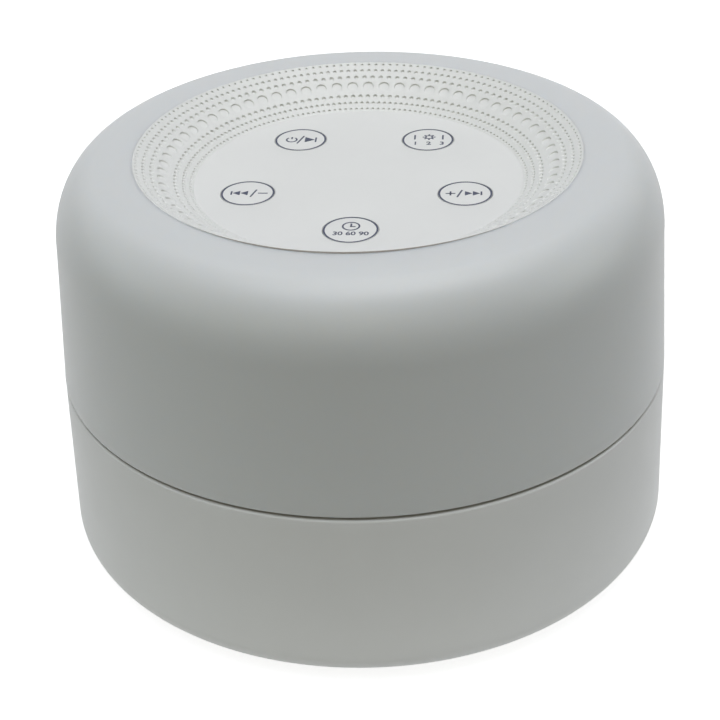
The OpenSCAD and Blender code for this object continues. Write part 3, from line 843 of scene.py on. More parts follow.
@dataclass(frozen=True)
class Finish:
    """A material in a maker's words, and the record's slot that it belongs to."""

    name: str
    slot: str
    colour: Colour
    second: Colour
    pattern: Pattern = Pattern.GRAIN
    scale: float = 2500.0
    relief: float = 0.01
    second_share: float = 0.2
    drift: float = 0.04
    dust: float = 0.02
    # How strongly painted shade darkens the seam's gap, the dimples' walls and the dish's front
    # joint.
    painted_shade: float = 0.0
    roughness: float = 0.5
    swing: float = 0.08
    metallic: float = 0.0
    specular: float = 0.5
    coat: float = 0.0
    sheen: float = 0.0
    scatter: float = 0.0
    scatter_reach: Colour = (1.0, 1.0, 1.0)

    def material(self) -> bpy.types.Material:
        """The finish's material, made the first time that it is asked for."""
        return bpy.data.materials.get(self.name) or self.build()

    def build(self) -> bpy.types.Material:
        """Joins the pattern, tone and gloss groups to a Principled shader.

        Returns:
            The material.
        """
        made = bpy.data.materials.new(self.name)
        made.use_nodes = True
        made.node_tree.nodes.clear()
        graph = Graph(made.node_tree)
        pattern = graph.group(Relief.group(self.pattern), {"Scale": self.scale})
        height = pattern.outputs["Height"]
        share = graph.math("MULTIPLY", pattern.outputs["Mask"], self.second_share)
        colours = {"Colour": (*self.colour, 1.0), "Second": (*self.second, 1.0), "Mask": share}
        tones = {**colours, "Drift": self.drift, "Dust": self.dust}
        colour = graph.group(EFFECTS.tone, tones).outputs["Colour"]
        # Painted shade: the seam's gap, the dimples' walls and the dish's front joint are darkened.
        if self.painted_shade:
            shade_inputs = {"Amount": self.painted_shade, "Colour": colour}
            colour = graph.group(EFFECTS.painted_shade, shade_inputs).outputs["Colour"]
        wear = {"Base": self.roughness, "Swing": self.swing, "Height": height}
        gloss = graph.group(EFFECTS.gloss, wear)
        bump = graph.add("ShaderNodeBump", {"Height": height, "Distance": self.relief * MM})
        shader = graph.add(
            "ShaderNodeBsdfPrincipled",
            {
                "Base Color": colour,
                "Roughness": gloss.outputs["Roughness"],
                "Normal": bump.outputs["Normal"],
                "Metallic": self.metallic,
                "Specular IOR Level": self.specular,
                "Coat Weight": self.coat,
                "Coat Roughness": 0.2,
                "Sheen Weight": self.sheen,
                "Sheen Roughness": 0.5,
                "Subsurface Weight": self.scatter,
                "Subsurface Radius": self.scatter_reach,
                "Subsurface Scale": MM,
            },
        )
        surface = graph.add("ShaderNodeOutputMaterial")
        graph.tree.links.new(shader.outputs[0], surface.inputs["Surface"])
        return made


# Painted shade darkens the seam's gap on the base.
BASE_WHITE = Finish(
    "satin_warm_white", "base_plastic", (0.76, 0.768, 0.768), (0.735, 0.743, 0.743),
    scale=3200.0, relief=0.006, painted_shade=0.52, roughness=0.46, swing=0.06, specular=0.35,
)
COVER_WHITE = Finish(
    "plain_warm_white", "cover_plastic", (0.78, 0.78, 0.75), (0.74, 0.74, 0.71),
    scale=2200.0, relief=0.015, roughness=0.6,
)
# Painted shade darkens the seam's gap and, at the front, the mouth's joint with the dish.
SHADE_MILK = Finish(
    "milky_lamp_plastic", "shade_plastic", (0.628, 0.647, 0.65), (0.615, 0.636, 0.642),
    scale=4200.0, relief=0.003, drift=0.015, dust=0.01, painted_shade=0.52, roughness=0.38, swing=0.04,
    scatter=1.0, scatter_reach=(2.2, 2.0, 1.8),
)
# Painted shade darkens the dimples' steep walls and, at the front, the rim's joint.
DISH_WHITE = Finish(
    "fine_matt_white", "dish_plastic", (0.74, 0.747, 0.73), (0.72, 0.727, 0.71),
    scale=5200.0, relief=0.005, drift=0.01, dust=0.02, painted_shade=0.8, roughness=0.45, swing=0.05,
)
KEY_WHITE = Finish(
    "key_matt_white", "key_plastic", (0.74, 0.747, 0.73), (0.72, 0.727, 0.71),
    scale=5200.0, relief=0.002, drift=0.01, dust=0.01, roughness=0.44, swing=0.05,
)
KEY_INK = Finish(
    "slate_pad_ink", "key_plastic", (0.010, 0.018, 0.055), (0.02, 0.028, 0.07),
    scale=9000.0, relief=0.004, second_share=0.6, dust=0.0, roughness=0.45, swing=0.12,
)
FOOT_RUBBER = Finish(
    "pale_foot_rubber", "foot_rubber", (0.55, 0.55, 0.54), (0.48, 0.48, 0.47),
    scale=1500.0, relief=0.03, roughness=0.82, specular=0.3, sheen=0.1,
)
ZINC = Finish(
    "zinc_plate", "screw_steel", (0.56, 0.57, 0.60), (0.44, 0.43, 0.40), Pattern.BRUSHED,
    scale=6000.0, relief=0.004, second_share=0.5, roughness=0.34, swing=0.2, metallic=1.0,
)
CONTACT_GOLD = Finish(
    "flash_gold", "plate_steel", (0.83, 0.63, 0.28), (0.7, 0.5, 0.2), Pattern.BRUSHED,
    scale=8000.0, relief=0.002, roughness=0.25, metallic=1.0,
)
TONGUE_BLACK = Finish(
    "glass_filled_black", "chip_plastic", (0.02, 0.02, 0.022), (0.05, 0.05, 0.05),
    scale=6000.0, relief=0.004, roughness=0.5,
)

SPIDER_CLOTH = Finish(
    "dipped_cotton", "spider_cloth", (0.55, 0.38, 0.14), (0.4, 0.26, 0.09), Pattern.WEAVE,
    scale=2000.0, relief=0.1, second_share=0.7, roughness=0.7,
)

INNER_FINISHES = [
    COVER_WHITE,
    SPIDER_CLOTH,
    FOOT_RUBBER,
    ZINC,
    Finish("woven_black", "grille_cloth", (0.02, 0.02, 0.02), (0.05, 0.05, 0.05), Pattern.WEAVE,
           scale=1600.0, relief=0.15, second_share=0.6, roughness=0.85, sheen=0.3),
    Finish("open_cell_foam", "foam", (0.05, 0.05, 0.052), (0.1, 0.1, 0.1), Pattern.FIBRE,
           scale=1400.0, relief=0.25, second_share=0.5, roughness=0.95, specular=0.2),
    Finish("black_stove_enamel", "painted_steel", (0.02, 0.02, 0.022), (0.05, 0.05, 0.05),
           scale=1200.0, relief=0.02, roughness=0.38, swing=0.12),
    Finish("rolled_plate", "plate_steel", (0.6, 0.6, 0.62), (0.48, 0.46, 0.42), Pattern.BRUSHED,
           scale=3000.0, relief=0.006, second_share=0.4, roughness=0.3, swing=0.15, metallic=1.0),
    Finish("sintered_ferrite", "ferrite", (0.045, 0.045, 0.05), (0.09, 0.085, 0.08), Pattern.FIBRE,
           scale=2600.0, relief=0.03, roughness=0.6, swing=0.15),
    Finish("phenolic_tag_board", "terminal_board", (0.42, 0.27, 0.12), (0.6, 0.42, 0.2),
           Pattern.FIBRE, scale=900.0, relief=0.01, second_share=0.5, roughness=0.5),
    Finish("pressed_cone_paper", "cone_paper", (0.03, 0.03, 0.032), (0.12, 0.11, 0.1),
           Pattern.FIBRE, scale=1100.0, relief=0.06, second_share=0.4, roughness=0.9, specular=0.2),
    Finish("enamelled_wire", "coil_copper", (0.6, 0.26, 0.1), (0.3, 0.12, 0.05), Pattern.WINDING,
           scale=5000.0, relief=0.08, second_share=0.8, roughness=0.3, metallic=1.0),
    Finish("moulded_roll_rubber", "surround_rubber", (0.018, 0.018, 0.018), (0.04, 0.04, 0.04),
           scale=1500.0, relief=0.02, roughness=0.7, sheen=0.1),
    Finish("shrink_sleeve", "cell_wrap", (0.05, 0.16, 0.36), (0.04, 0.12, 0.28),
           scale=500.0, relief=0.02, roughness=0.25, coat=0.3),
    Finish("red_and_black_insulation", "lead_plastic", (0.45, 0.02, 0.015), (0.015, 0.015, 0.015),
           Pattern.PAIR, scale=1500.0, relief=0.01, second_share=1.0, roughness=0.35),
    Finish("green_solder_resist", "circuit_board", (0.012, 0.11, 0.04), (0.03, 0.22, 0.09),
           Pattern.TRACES, scale=260.0, relief=0.03, second_share=0.9, roughness=0.32, coat=0.3),
    Finish("epoxy_package", "chip_plastic", (0.022, 0.022, 0.024), (0.06, 0.06, 0.06),
           scale=4000.0, relief=0.008, roughness=0.6),
    Finish("drawn_can", "capacitor_can", (0.72, 0.72, 0.74), (0.55, 0.55, 0.57), Pattern.BRUSHED,
           scale=4000.0, relief=0.004, roughness=0.3, metallic=1.0),
    Finish("natural_nylon", "socket_plastic", (0.75, 0.72, 0.62), (0.68, 0.64, 0.54),
           scale=2500.0, relief=0.01, roughness=0.5),
    Finish("reflector_white", "reflector_plastic", (0.86, 0.86, 0.86), (0.83, 0.83, 0.83),
           scale=2600.0, relief=0.01, roughness=0.6),
    Finish("white_solder_resist", "lamp_board", (0.8, 0.8, 0.79), (0.7, 0.7, 0.68), Pattern.TRACES,
           scale=180.0, relief=0.03, second_share=0.6, roughness=0.35, coat=0.2),
    Finish("phosphor_cap", "led_lens", (0.85, 0.66, 0.16), (0.9, 0.8, 0.4),
           scale=3000.0, relief=0.02, roughness=0.3, coat=0.3),
    Finish("flat_flex_film", "ribbon_plastic", (0.72, 0.72, 0.74), (0.5, 0.46, 0.4), Pattern.BANDS,
           scale=1000.0, relief=0.02, second_share=0.7, roughness=0.3),
    Finish("plunger_black", "plunger_plastic", (0.015, 0.015, 0.016), (0.04, 0.04, 0.04),
           scale=3000.0, relief=0.006, roughness=0.4),
]


# ---------------------------------------------------------------- sub-assemblies


@dataclass
class ChargingSocket:
    """The charging socket in the base's back: a drawn steel shell, its tongue and its contacts."""

    shell_wall: float = 0.3
    shell_floor: float = 1.5
    tongue_width: float = 6.6
    tongue_thickness: float = 0.7
    tongue_foot: float = 1.2
    tongue_tip: float = 0.8
    tip_bevel: float = 0.15
    tip_share: float = 0.8
    contacts: int = 12
    contact_pitch: float = 0.5
    contact_width: float = 0.26
    contact_ends: Spot = (1.1, 4.8)
    contact_lift: float = 0.35
    contact_thickness: float = 0.06

    def __post_init__(self) -> None:
        """Takes the socket's size and place from its CAD node."""
        low, high = node_box("usb_c_socket")
        self.width, self.height, self.depth = high[0] - low[0], high[2] - low[2], high[1] - low[1]
        self.mouth_y, self.z = high[1], (low[2] + high[2]) / 2

    def rings(self, stations: list[tuple[float, float, float]]) -> np.ndarray:
        """Slot-shaped rings one behind the other, in upright planes.

        Args:
            stations: Each ring's length, its height and how deep it lies in the socket.

        Returns:
            Points, by ring and direction.
        """
        direction = np.radians(np.arange(0, 360, 5.0))
        rings = []
        for length, height, back in stations:
            flat = stadium(direction, length, height)
            y = np.full(len(flat), self.mouth_y - back)
            rings.append(np.column_stack([flat[:, 0], y, flat[:, 1] + self.z]))
        return np.stack(rings)

    def build(self) -> None:
        """Makes the shell, the tongue and two rows of contacts."""
        wall, floor = self.shell_wall, self.depth - self.shell_floor
        section = rounded(
            [(0, self.depth, 0), (0, 0, 0.1), (wall, 0, 0.1), (wall, floor, 0.1)], 3, closed=False
        )
        can = Solid()
        can.tube(self.rings([(self.width - 2 * i, self.height - 2 * i, z) for i, z in section]))
        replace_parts(can.make("usb_c_can", "housing", ZINC), "usb_c_socket")
        wide, thick, small = self.tongue_width, self.tongue_thickness, self.tip_share
        tongue = Solid()
        tongue.tube(self.rings([
            (wide, thick, self.depth - self.tongue_foot),
            (wide, thick, self.tongue_tip + self.tip_bevel),
            (wide * small, thick * small, self.tongue_tip),
        ]))
        tongue.make("usb_c_tongue", "housing", TONGUE_BLACK)
        self.contact_rows().make("usb_c_contacts", "housing", CONTACT_GOLD)

    def contact_rows(self) -> Solid:
        """A row of flat contacts with rounded tips on either side of the tongue.

        Returns:
            The contacts.
        """
        rows, half = Solid(), self.contact_width / 2
        tip, root = (self.mouth_y - end for end in self.contact_ends)
        for side in (-1, 1):
            z = self.z + side * self.contact_lift
            low, high = z - self.contact_thickness / 2, z + self.contact_thickness / 2
            for x in (np.arange(self.contacts) - (self.contacts - 1) / 2) * self.contact_pitch:
                left, right = x - half, x + half
                corners = [(left, root, 0), (right, root, 0), (right, tip, 0.1), (left, tip, 0.1)]
                rows.prism(rounded(corners, 3), low, high)
        return rows


@dataclass
class Base:
    """The housing under the seam, with what closes it below and the charging port in its back."""

    finish: Finish = BASE_WHITE
    wall: float = 2.4
    foot_round: float = 5.7
    seam_round: float = 0.52
    seam_drop: float = 0.45
    taper: float = 0.5
    cover_gap: float = 0.3
    cover_thickness: float = 2.2
    segments: int = 360
    port_width: float = 13.0
    port_height: float = 7.4
    port_edge: float = 0.35
    port_floor: float = 0.2
    hole_gap: float = 0.2
    patch_columns: int = 16
    patch_half_height: float = 6.0
    patch_rows: int = 12
    post_radius: float = 3.0
    pilot_radius: float = 1.5
    board_pilots: Spot = (9.0, 6.0)
    board_circle: float = 47.5
    board_angles: tuple[float, ...] = (38, 142, 218, 322)
    chassis_post: float = 12.0
    chassis_pilot: float = 8.0
    chassis_circle: float = 53.0
    chassis_angles: tuple[float, ...] = (30, 150, 270)
    sole_dish: float = 0.35
    sole_tread: Spot = (1.7, 2.2)

    def __post_init__(self) -> None:
        """Takes the main sizes from the CAD nodes."""
        low, high = node_box("base_housing")
        self.radius, self.low, self.high = high[0], low[2], high[2] - self.seam_drop
        self.mouth_radius = node_box("bottom_cover")[1][0] + self.cover_gap
        self.socket = ChargingSocket()
        self.port_z = self.socket.z
        self.hole_width = self.socket.width + 2 * self.hole_gap
        self.hole_height = self.socket.height + 2 * self.hole_gap
        self.floor_y = self.socket.mouth_y + self.port_floor

    def wall_radius(self, height: np.ndarray | float, outside: bool) -> np.ndarray | float:
        """Radius of the wall at a height: it narrows evenly from the rounded foot to the seam.

        Args:
            height: Heights above the table.
            outside: True for the outer face, False for the inner one.

        Returns:
            The radii.
        """
        start = self.low + self.foot_round
        share = (height - start) / (self.high - start)
        return self.radius - (0.0 if outside else self.wall) - self.taper * share

    def patch_heights(self) -> np.ndarray:
        """Heights of the rows of the patch that holds the charging port."""
        half = self.patch_half_height
        return self.port_z + np.linspace(-half, half, self.patch_rows + 1)

    def profile(self) -> np.ndarray:
        """The wall's closed section, with a row at each height of the charging port's patch.

        Returns:
            Radius and height of each point.
        """
        low, start, top = self.low, self.low + self.foot_round, self.high
        corner, patch, shoulder = self.radius - self.foot_round, self.patch_heights(), top - 2
        below, above = np.linspace(start, patch[0], 6)[1:-1], np.linspace(patch[-1], shoulder, 3)
        rows = np.concatenate([below, patch, above[1:]])
        foot = ellipse((corner, start), (self.foot_round,) * 2, (-90, 0), 16)
        mouth = rounded([
            (corner, low, 0), (self.mouth_radius, low, 0.25),
            (self.mouth_radius, low + self.wall, 0), (corner, low + self.wall, 0),
        ], 4, closed=False)
        outer = np.column_stack([self.wall_radius(rows, True), rows])
        inner = np.column_stack([self.wall_radius(rows[::-1], False), rows[::-1]])
        outside, inside = self.wall_radius(top, True), self.wall_radius(top, False)
        seam = rounded([
            (*outer[-1], 0), (outside, top, self.seam_round), (inside, top, 0.2),
            (inside, shoulder, 0),
        ], 6, closed=False)
        inner_foot = ellipse((corner, start), (self.foot_round - self.wall,) * 2, (0, -90), 8)
        return np.vstack([foot, outer[:-1], seam, inner[1:], inner_foot[:-1], mouth[::-1][:-1]])

    def build(self) -> None:
        """Makes the housing, its posts, the feet, the screws, the cover and the socket."""
        shell = Solid()
        profile = self.profile()
        loop = np.vstack([profile, profile[:1]])
        angles = np.arange(self.segments) * 360 / self.segments
        inside = np.abs(loop[:, 1] - self.port_z) <= self.patch_half_height + 1e-6
        in_wall = loop[:-1, 0] > self.radius - 2 * self.wall
        row_hit = inside[:-1] & inside[1:] & in_wall
        half = self.patch_columns / 2
        column_hit = (angles >= BACK - half) & (angles < BACK + half)
        shell.grid(turned(loop, angles), wrap=True, keep=~(row_hit[:, None] & column_hit))
        self.port(shell)
        self.posts(shell)
        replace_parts(shell.make("base_shell", "housing", self.finish, sharp=40), "base_housing")
        self.socket.build()
        self.feet()
        softened("bottom_cover", COVER_WHITE, 0.2)
        softened("cover_screws", ZINC, 0.12)

    def border(self, outside: bool) -> np.ndarray:
        """Points along the edge of the charging port's patch, seen flat from behind.

        The way across is the wall's radius times the cosine of the angle.

        Args:
            outside: True for the wall's outer face, False for the inner one.

        Returns:
            Points across and up from the port's middle, one a row.
        """
        half = self.patch_columns / 2
        columns = BACK + np.linspace(half, -half, self.patch_columns + 1)
        walk = walk_round(columns, self.patch_heights())
        x = self.wall_radius(walk[:, 1], outside) * np.cos(np.radians(walk[:, 0]))
        return np.column_stack([x, walk[:, 1] - self.port_z])

    def on_wall(
        self, flat: np.ndarray, outside: bool, depth: np.ndarray | float = 0.0
    ) -> np.ndarray:
        """Lifts flat points on to the wall: y is the root of the radius squared less x squared.

        Args:
            flat: Points across and up from the port's middle.
            outside: True for the wall's outer face, False for the inner one.
            depth: How far inside that face the points lie.

        Returns:
            The points in space.
        """
        height = flat[..., 1] + self.port_z
        y = np.sqrt(self.wall_radius(height, outside) ** 2 - flat[..., 0] ** 2) - depth
        return np.stack([flat[..., 0], y, height], axis=-1)

    def port(self, shell: Solid) -> None:
        """Sinks the port's slot into the wall: a rounded edge, a flat floor and the socket's hole.

        Each ring of points keeps the directions of the patch's edge, so the rings join as a grid.

        Args:
            shell: The solid to add to.
        """
        border, edge = self.border(True), self.port_edge
        direction = np.arctan2(border[:, 1], border[:, 0])
        slot = stadium(direction, self.port_width + 2 * edge, self.port_height + 2 * edge)
        share = np.array([0.0, 0.3, 0.6, 0.85, 1.0])[:, None, None]
        apron = self.on_wall(border + (slot - border) * share, True)
        bend = np.radians(np.linspace(0, 90, 6))[1:]
        widen = 2 * edge * (1 - np.sin(bend))
        lip = [stadium(direction, self.port_width + w, self.port_height + w) for w in widen]
        rim = self.on_wall(np.stack(lip), True, (edge * (1 - np.cos(bend)))[:, None])
        base = rim[-1].copy()
        base[:, 1] = self.floor_y
        hole = stadium(direction, self.hole_width, self.hole_height)
        mouth_y = np.full(len(hole), self.floor_y)
        mouth = np.column_stack([hole[:, 0], mouth_y, hole[:, 1] + self.port_z])
        shell.grid(np.concatenate([apron, rim, base[None], mouth[None]]), wrap=True)
        back_share = np.array([0.0, 0.5, 1.0])[:, None, None]
        back = self.on_wall(hole + (self.border(False) - hole) * back_share, False)
        shell.grid(np.concatenate([mouth[None], back]), wrap=True)

    def posts(self, shell: Solid) -> None:
        """Adds pillars under the main board and posts under the chassis, each with pilot holes.

        Args:
            shell: The solid to add to.
        """
        floor = node_box("bottom_cover")[0][2] + self.cover_thickness
        board = node_box("main_board")[0][2]
        chassis = node_box("chassis_plate")[0][2]
        wide, pilot = self.post_radius, self.pilot_radius
        below, above = floor + self.board_pilots[0], board - self.board_pilots[1]
        pillar = [
            (0, below), (pilot, below), (pilot, floor), (wide, floor),
            (wide, board), (pilot, board), (pilot, above), (0, above),
        ]
        foot, bottom = chassis - self.chassis_post, chassis - self.chassis_pilot
        post = [
            (0, foot), (wide, foot), (wide, chassis),
            (pilot, chassis), (pilot, bottom), (0, bottom),
        ]
        for section, circle, angles in (
            (pillar, self.board_circle, self.board_angles),
            (post, self.chassis_circle, self.chassis_angles),
        ):
            for angle in angles:
                shell.revolve(np.array(section), 32, polar(circle, angle), closed=False)

    def feet(self) -> None:
        """Four turned rubber feet, each with a rolled edge and a shallow dish in its sole."""
        for place in ("right", "back", "left", "front"):
            low, high = node_box("foot_" + place)
            centre, radius = (low + high) / 2, (high[1] - low[1]) / 2
            tread, slope = (radius - width for width in self.sole_tread)
            section = rounded([
                (0, self.sole_dish, 0), (slope, self.sole_dish, 0.6), (tread, 0, 0.3),
                (radius, 0, 0.55), (radius, high[2], 0.3), (0, high[2], 0),
            ], 5, closed=False)
            foot = Solid()
            foot.revolve(section, 64, (centre[0], centre[1]), closed=False)
            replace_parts(foot.make("foot_pad_" + place, "housing", FOOT_RUBBER), "foot_" + place)


@dataclass
class Shade:
    """The milky lamp shade: its wall, elliptic shoulder, dish ledge and the spigot in the base."""

    finish: Finish = SHADE_MILK
    wall: float = 2.2
    foot_radius: float = 61.5
    foot_round: float = 0.45
    shoulder_radius: float = 60.0
    shoulder_width: float = 10.0
    shoulder_height: float = 14.4
    ledge_radius: float = 42.9
    ledge_thickness: float = 1.8
    mouth_radius: float = 43.81
    mouth_rise: float = 0.58
    dome_start: float = 1.0
    front_in: float = 0.85
    front_down: float = 0.32
    bottom: float = 39.3
    rim_depth: float = 2.2
    spigot_radius: float = 58.9
    spigot_wall: float = 1.9
    hook_step: float = 60.0
    hook_half: float = 4.0
    hook_grip: float = 0.6
    hook_heights: Spot = (1.2, 0.2)

    def __post_init__(self) -> None:
        """Takes the shade's heights from its CAD node."""
        low, high = node_box("shade")
        self.spigot_foot, self.top = low[2], high[2]
        self.shoulder_z = self.top - self.shoulder_height
        self.spigot_inner = self.spigot_radius - self.spigot_wall
        self.corner = self.shoulder_radius - self.shoulder_width

    def profile(self) -> np.ndarray:
        """The shade's closed section: a straight wall, an elliptic shoulder and a faint dome.

        Returns:
            Radius and height of each point.
        """
        start = self.bottom + 2
        foot = rounded([
            (self.spigot_radius, self.spigot_foot, 0), (self.spigot_radius, self.bottom, 0.1),
            (self.foot_radius, self.bottom, self.foot_round), (self.foot_radius, start, 0),
        ], 5, closed=False)
        height = np.linspace(start, self.shoulder_z, 16)
        lean = (self.foot_radius - self.shoulder_radius) / (self.shoulder_z - self.bottom)
        wall = np.column_stack([self.foot_radius - (height - self.bottom) * lean, height])
        centre, semi = (self.corner, self.shoulder_z), (self.shoulder_width, self.shoulder_height)
        turn = math.acos(self.dome_start / self.shoulder_width)
        shoulder = ellipse(centre, semi, (0, math.degrees(turn)), 40)
        dome = self.dome(shoulder[-1], semi[1] / semi[0] / math.tan(turn))
        inner = ellipse(centre, (semi[0] - self.wall, semi[1] - self.wall), (90, 0), 24)
        spigot = np.array([
            (self.spigot_radius + 0.1, self.bottom + 4), (self.spigot_inner, self.bottom + 2.6),
            (self.spigot_inner, self.spigot_foot),
        ])
        seat = self.seat(dome[-1])
        return np.vstack([foot[:-1], wall[:-1], shoulder[:-1], dome[:-1], seat[:-1], inner, spigot])

    def dome(self, start: np.ndarray, slope: float) -> np.ndarray:
        """The faint dome between the shoulder and the dish, a parabola.

        It leaves the ellipse at the ellipse's own slope, so the slope at its other end is twice
        the mean slope less that.

        Args:
            start: Radius and height where it leaves the ellipse.
            slope: The ellipse's slope there.

        Returns:
            Radius and height of each point, without the last.
        """
        run, rise = start[0] - self.mouth_radius, self.top + self.mouth_rise - start[1]
        way = np.linspace(0, 1, 13)[:-1]
        height = start[1] + slope * run * way + (rise - slope * run) * way**2
        return np.column_stack([start[0] - run * way, height])

    def seat(self, start: np.ndarray) -> np.ndarray:
        """The mouth that the dish sits in, its ledge and the way back to the shoulder's inside.

        Args:
            start: Radius and height of the dome's last point.

        Returns:
            Radius and height of each point.
        """
        crown, roof = self.top + self.mouth_rise, self.top - self.wall
        ledge = self.top - self.rim_depth
        return rounded([
            (*start, 0), (self.mouth_radius, crown, 0.1), (self.mouth_radius, ledge, 0.1),
            (self.ledge_radius, ledge, 0.2), (self.ledge_radius, ledge - self.ledge_thickness, 0.2),
            (self.corner - 2, roof, 1.0), (self.corner, roof, 0),
        ], 4, closed=False)

    def build(self) -> None:
        """Makes the shade, with the six hooks that hold it down inside the base."""
        shell = Solid()
        shell.revolve(self.profile(), 360)
        low, high = node_box("chassis_plate")
        near, far, half = high[0] - self.hook_grip, self.spigot_inner + 0.4, self.hook_half
        hook = np.array([[near, -half], [far, -half], [far, half], [near, half]])
        foot, head = (low[2] - drop for drop in self.hook_heights)
        for turn in np.radians(np.arange(0, 360, self.hook_step)):
            spin = np.array([[math.cos(turn), math.sin(turn)], [-math.sin(turn), math.cos(turn)]])
            shell.prism(hook @ spin, foot, head)
        radii, heights = (self.corner, self.mouth_radius), (self.top - 2.0, self.top)
        shell.draw_in(self.front_in, self.front_down, radii, heights)
        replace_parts(shell.make("lamp_shade", "housing", self.finish, sharp=40), "shade")


@dataclass(frozen=True)
class DimpleRow:
    """One ring of round dimples in the dish's sloping wall."""

    count: int
    radius: float
    diameter: float
    depth: float
    inner: float
    outer: float
    first: float
    aside: float = 0.0
    sides: int = 2
    lean: float = 0.28
    large: float = 1.5

    def outline(self, circle: int) -> np.ndarray:
        """Walks round one cell: shares across, from -1/2 to 1/2, and up the slope, from 0 to 1.

        Args:
            circle: Points on a whole circle, the same for all rows, so that neighbours meet.

        Returns:
            The cell's border points, one a row.
        """
        across = np.linspace(-0.5, 0.5, circle // self.count + 1)
        return walk_round(across, np.linspace(0, 1, self.sides + 1))

    def section(self) -> list[Spot]:
        """Radius and depth of the rings that form a dimple, from its rim to its floor's edge.

        Returns:
            A radius and a depth for each ring.
        """
        r, d = self.diameter / 2, self.depth
        if self.diameter < self.large:
            return [(r + 0.03, 0.0), (r - 0.02, d * 0.4), (r * 0.6, d * 0.88)]
        rim = [(r + 0.05, 0.0), (r + 0.01, 0.02), (r - 0.03, d * 0.5), (r - 0.09, d * 0.8)]
        return rim + [(r * 0.78, d * 0.91), (r * 0.5, d * 0.98)]

    def sink(self, reach: float, depth: float, direction: np.ndarray) -> np.ndarray:
        """Depth round a ring: the floor leans towards level, so uphill it is deeper by the lean."""
        return depth + self.lean * depth / self.depth * reach * np.sin(direction)


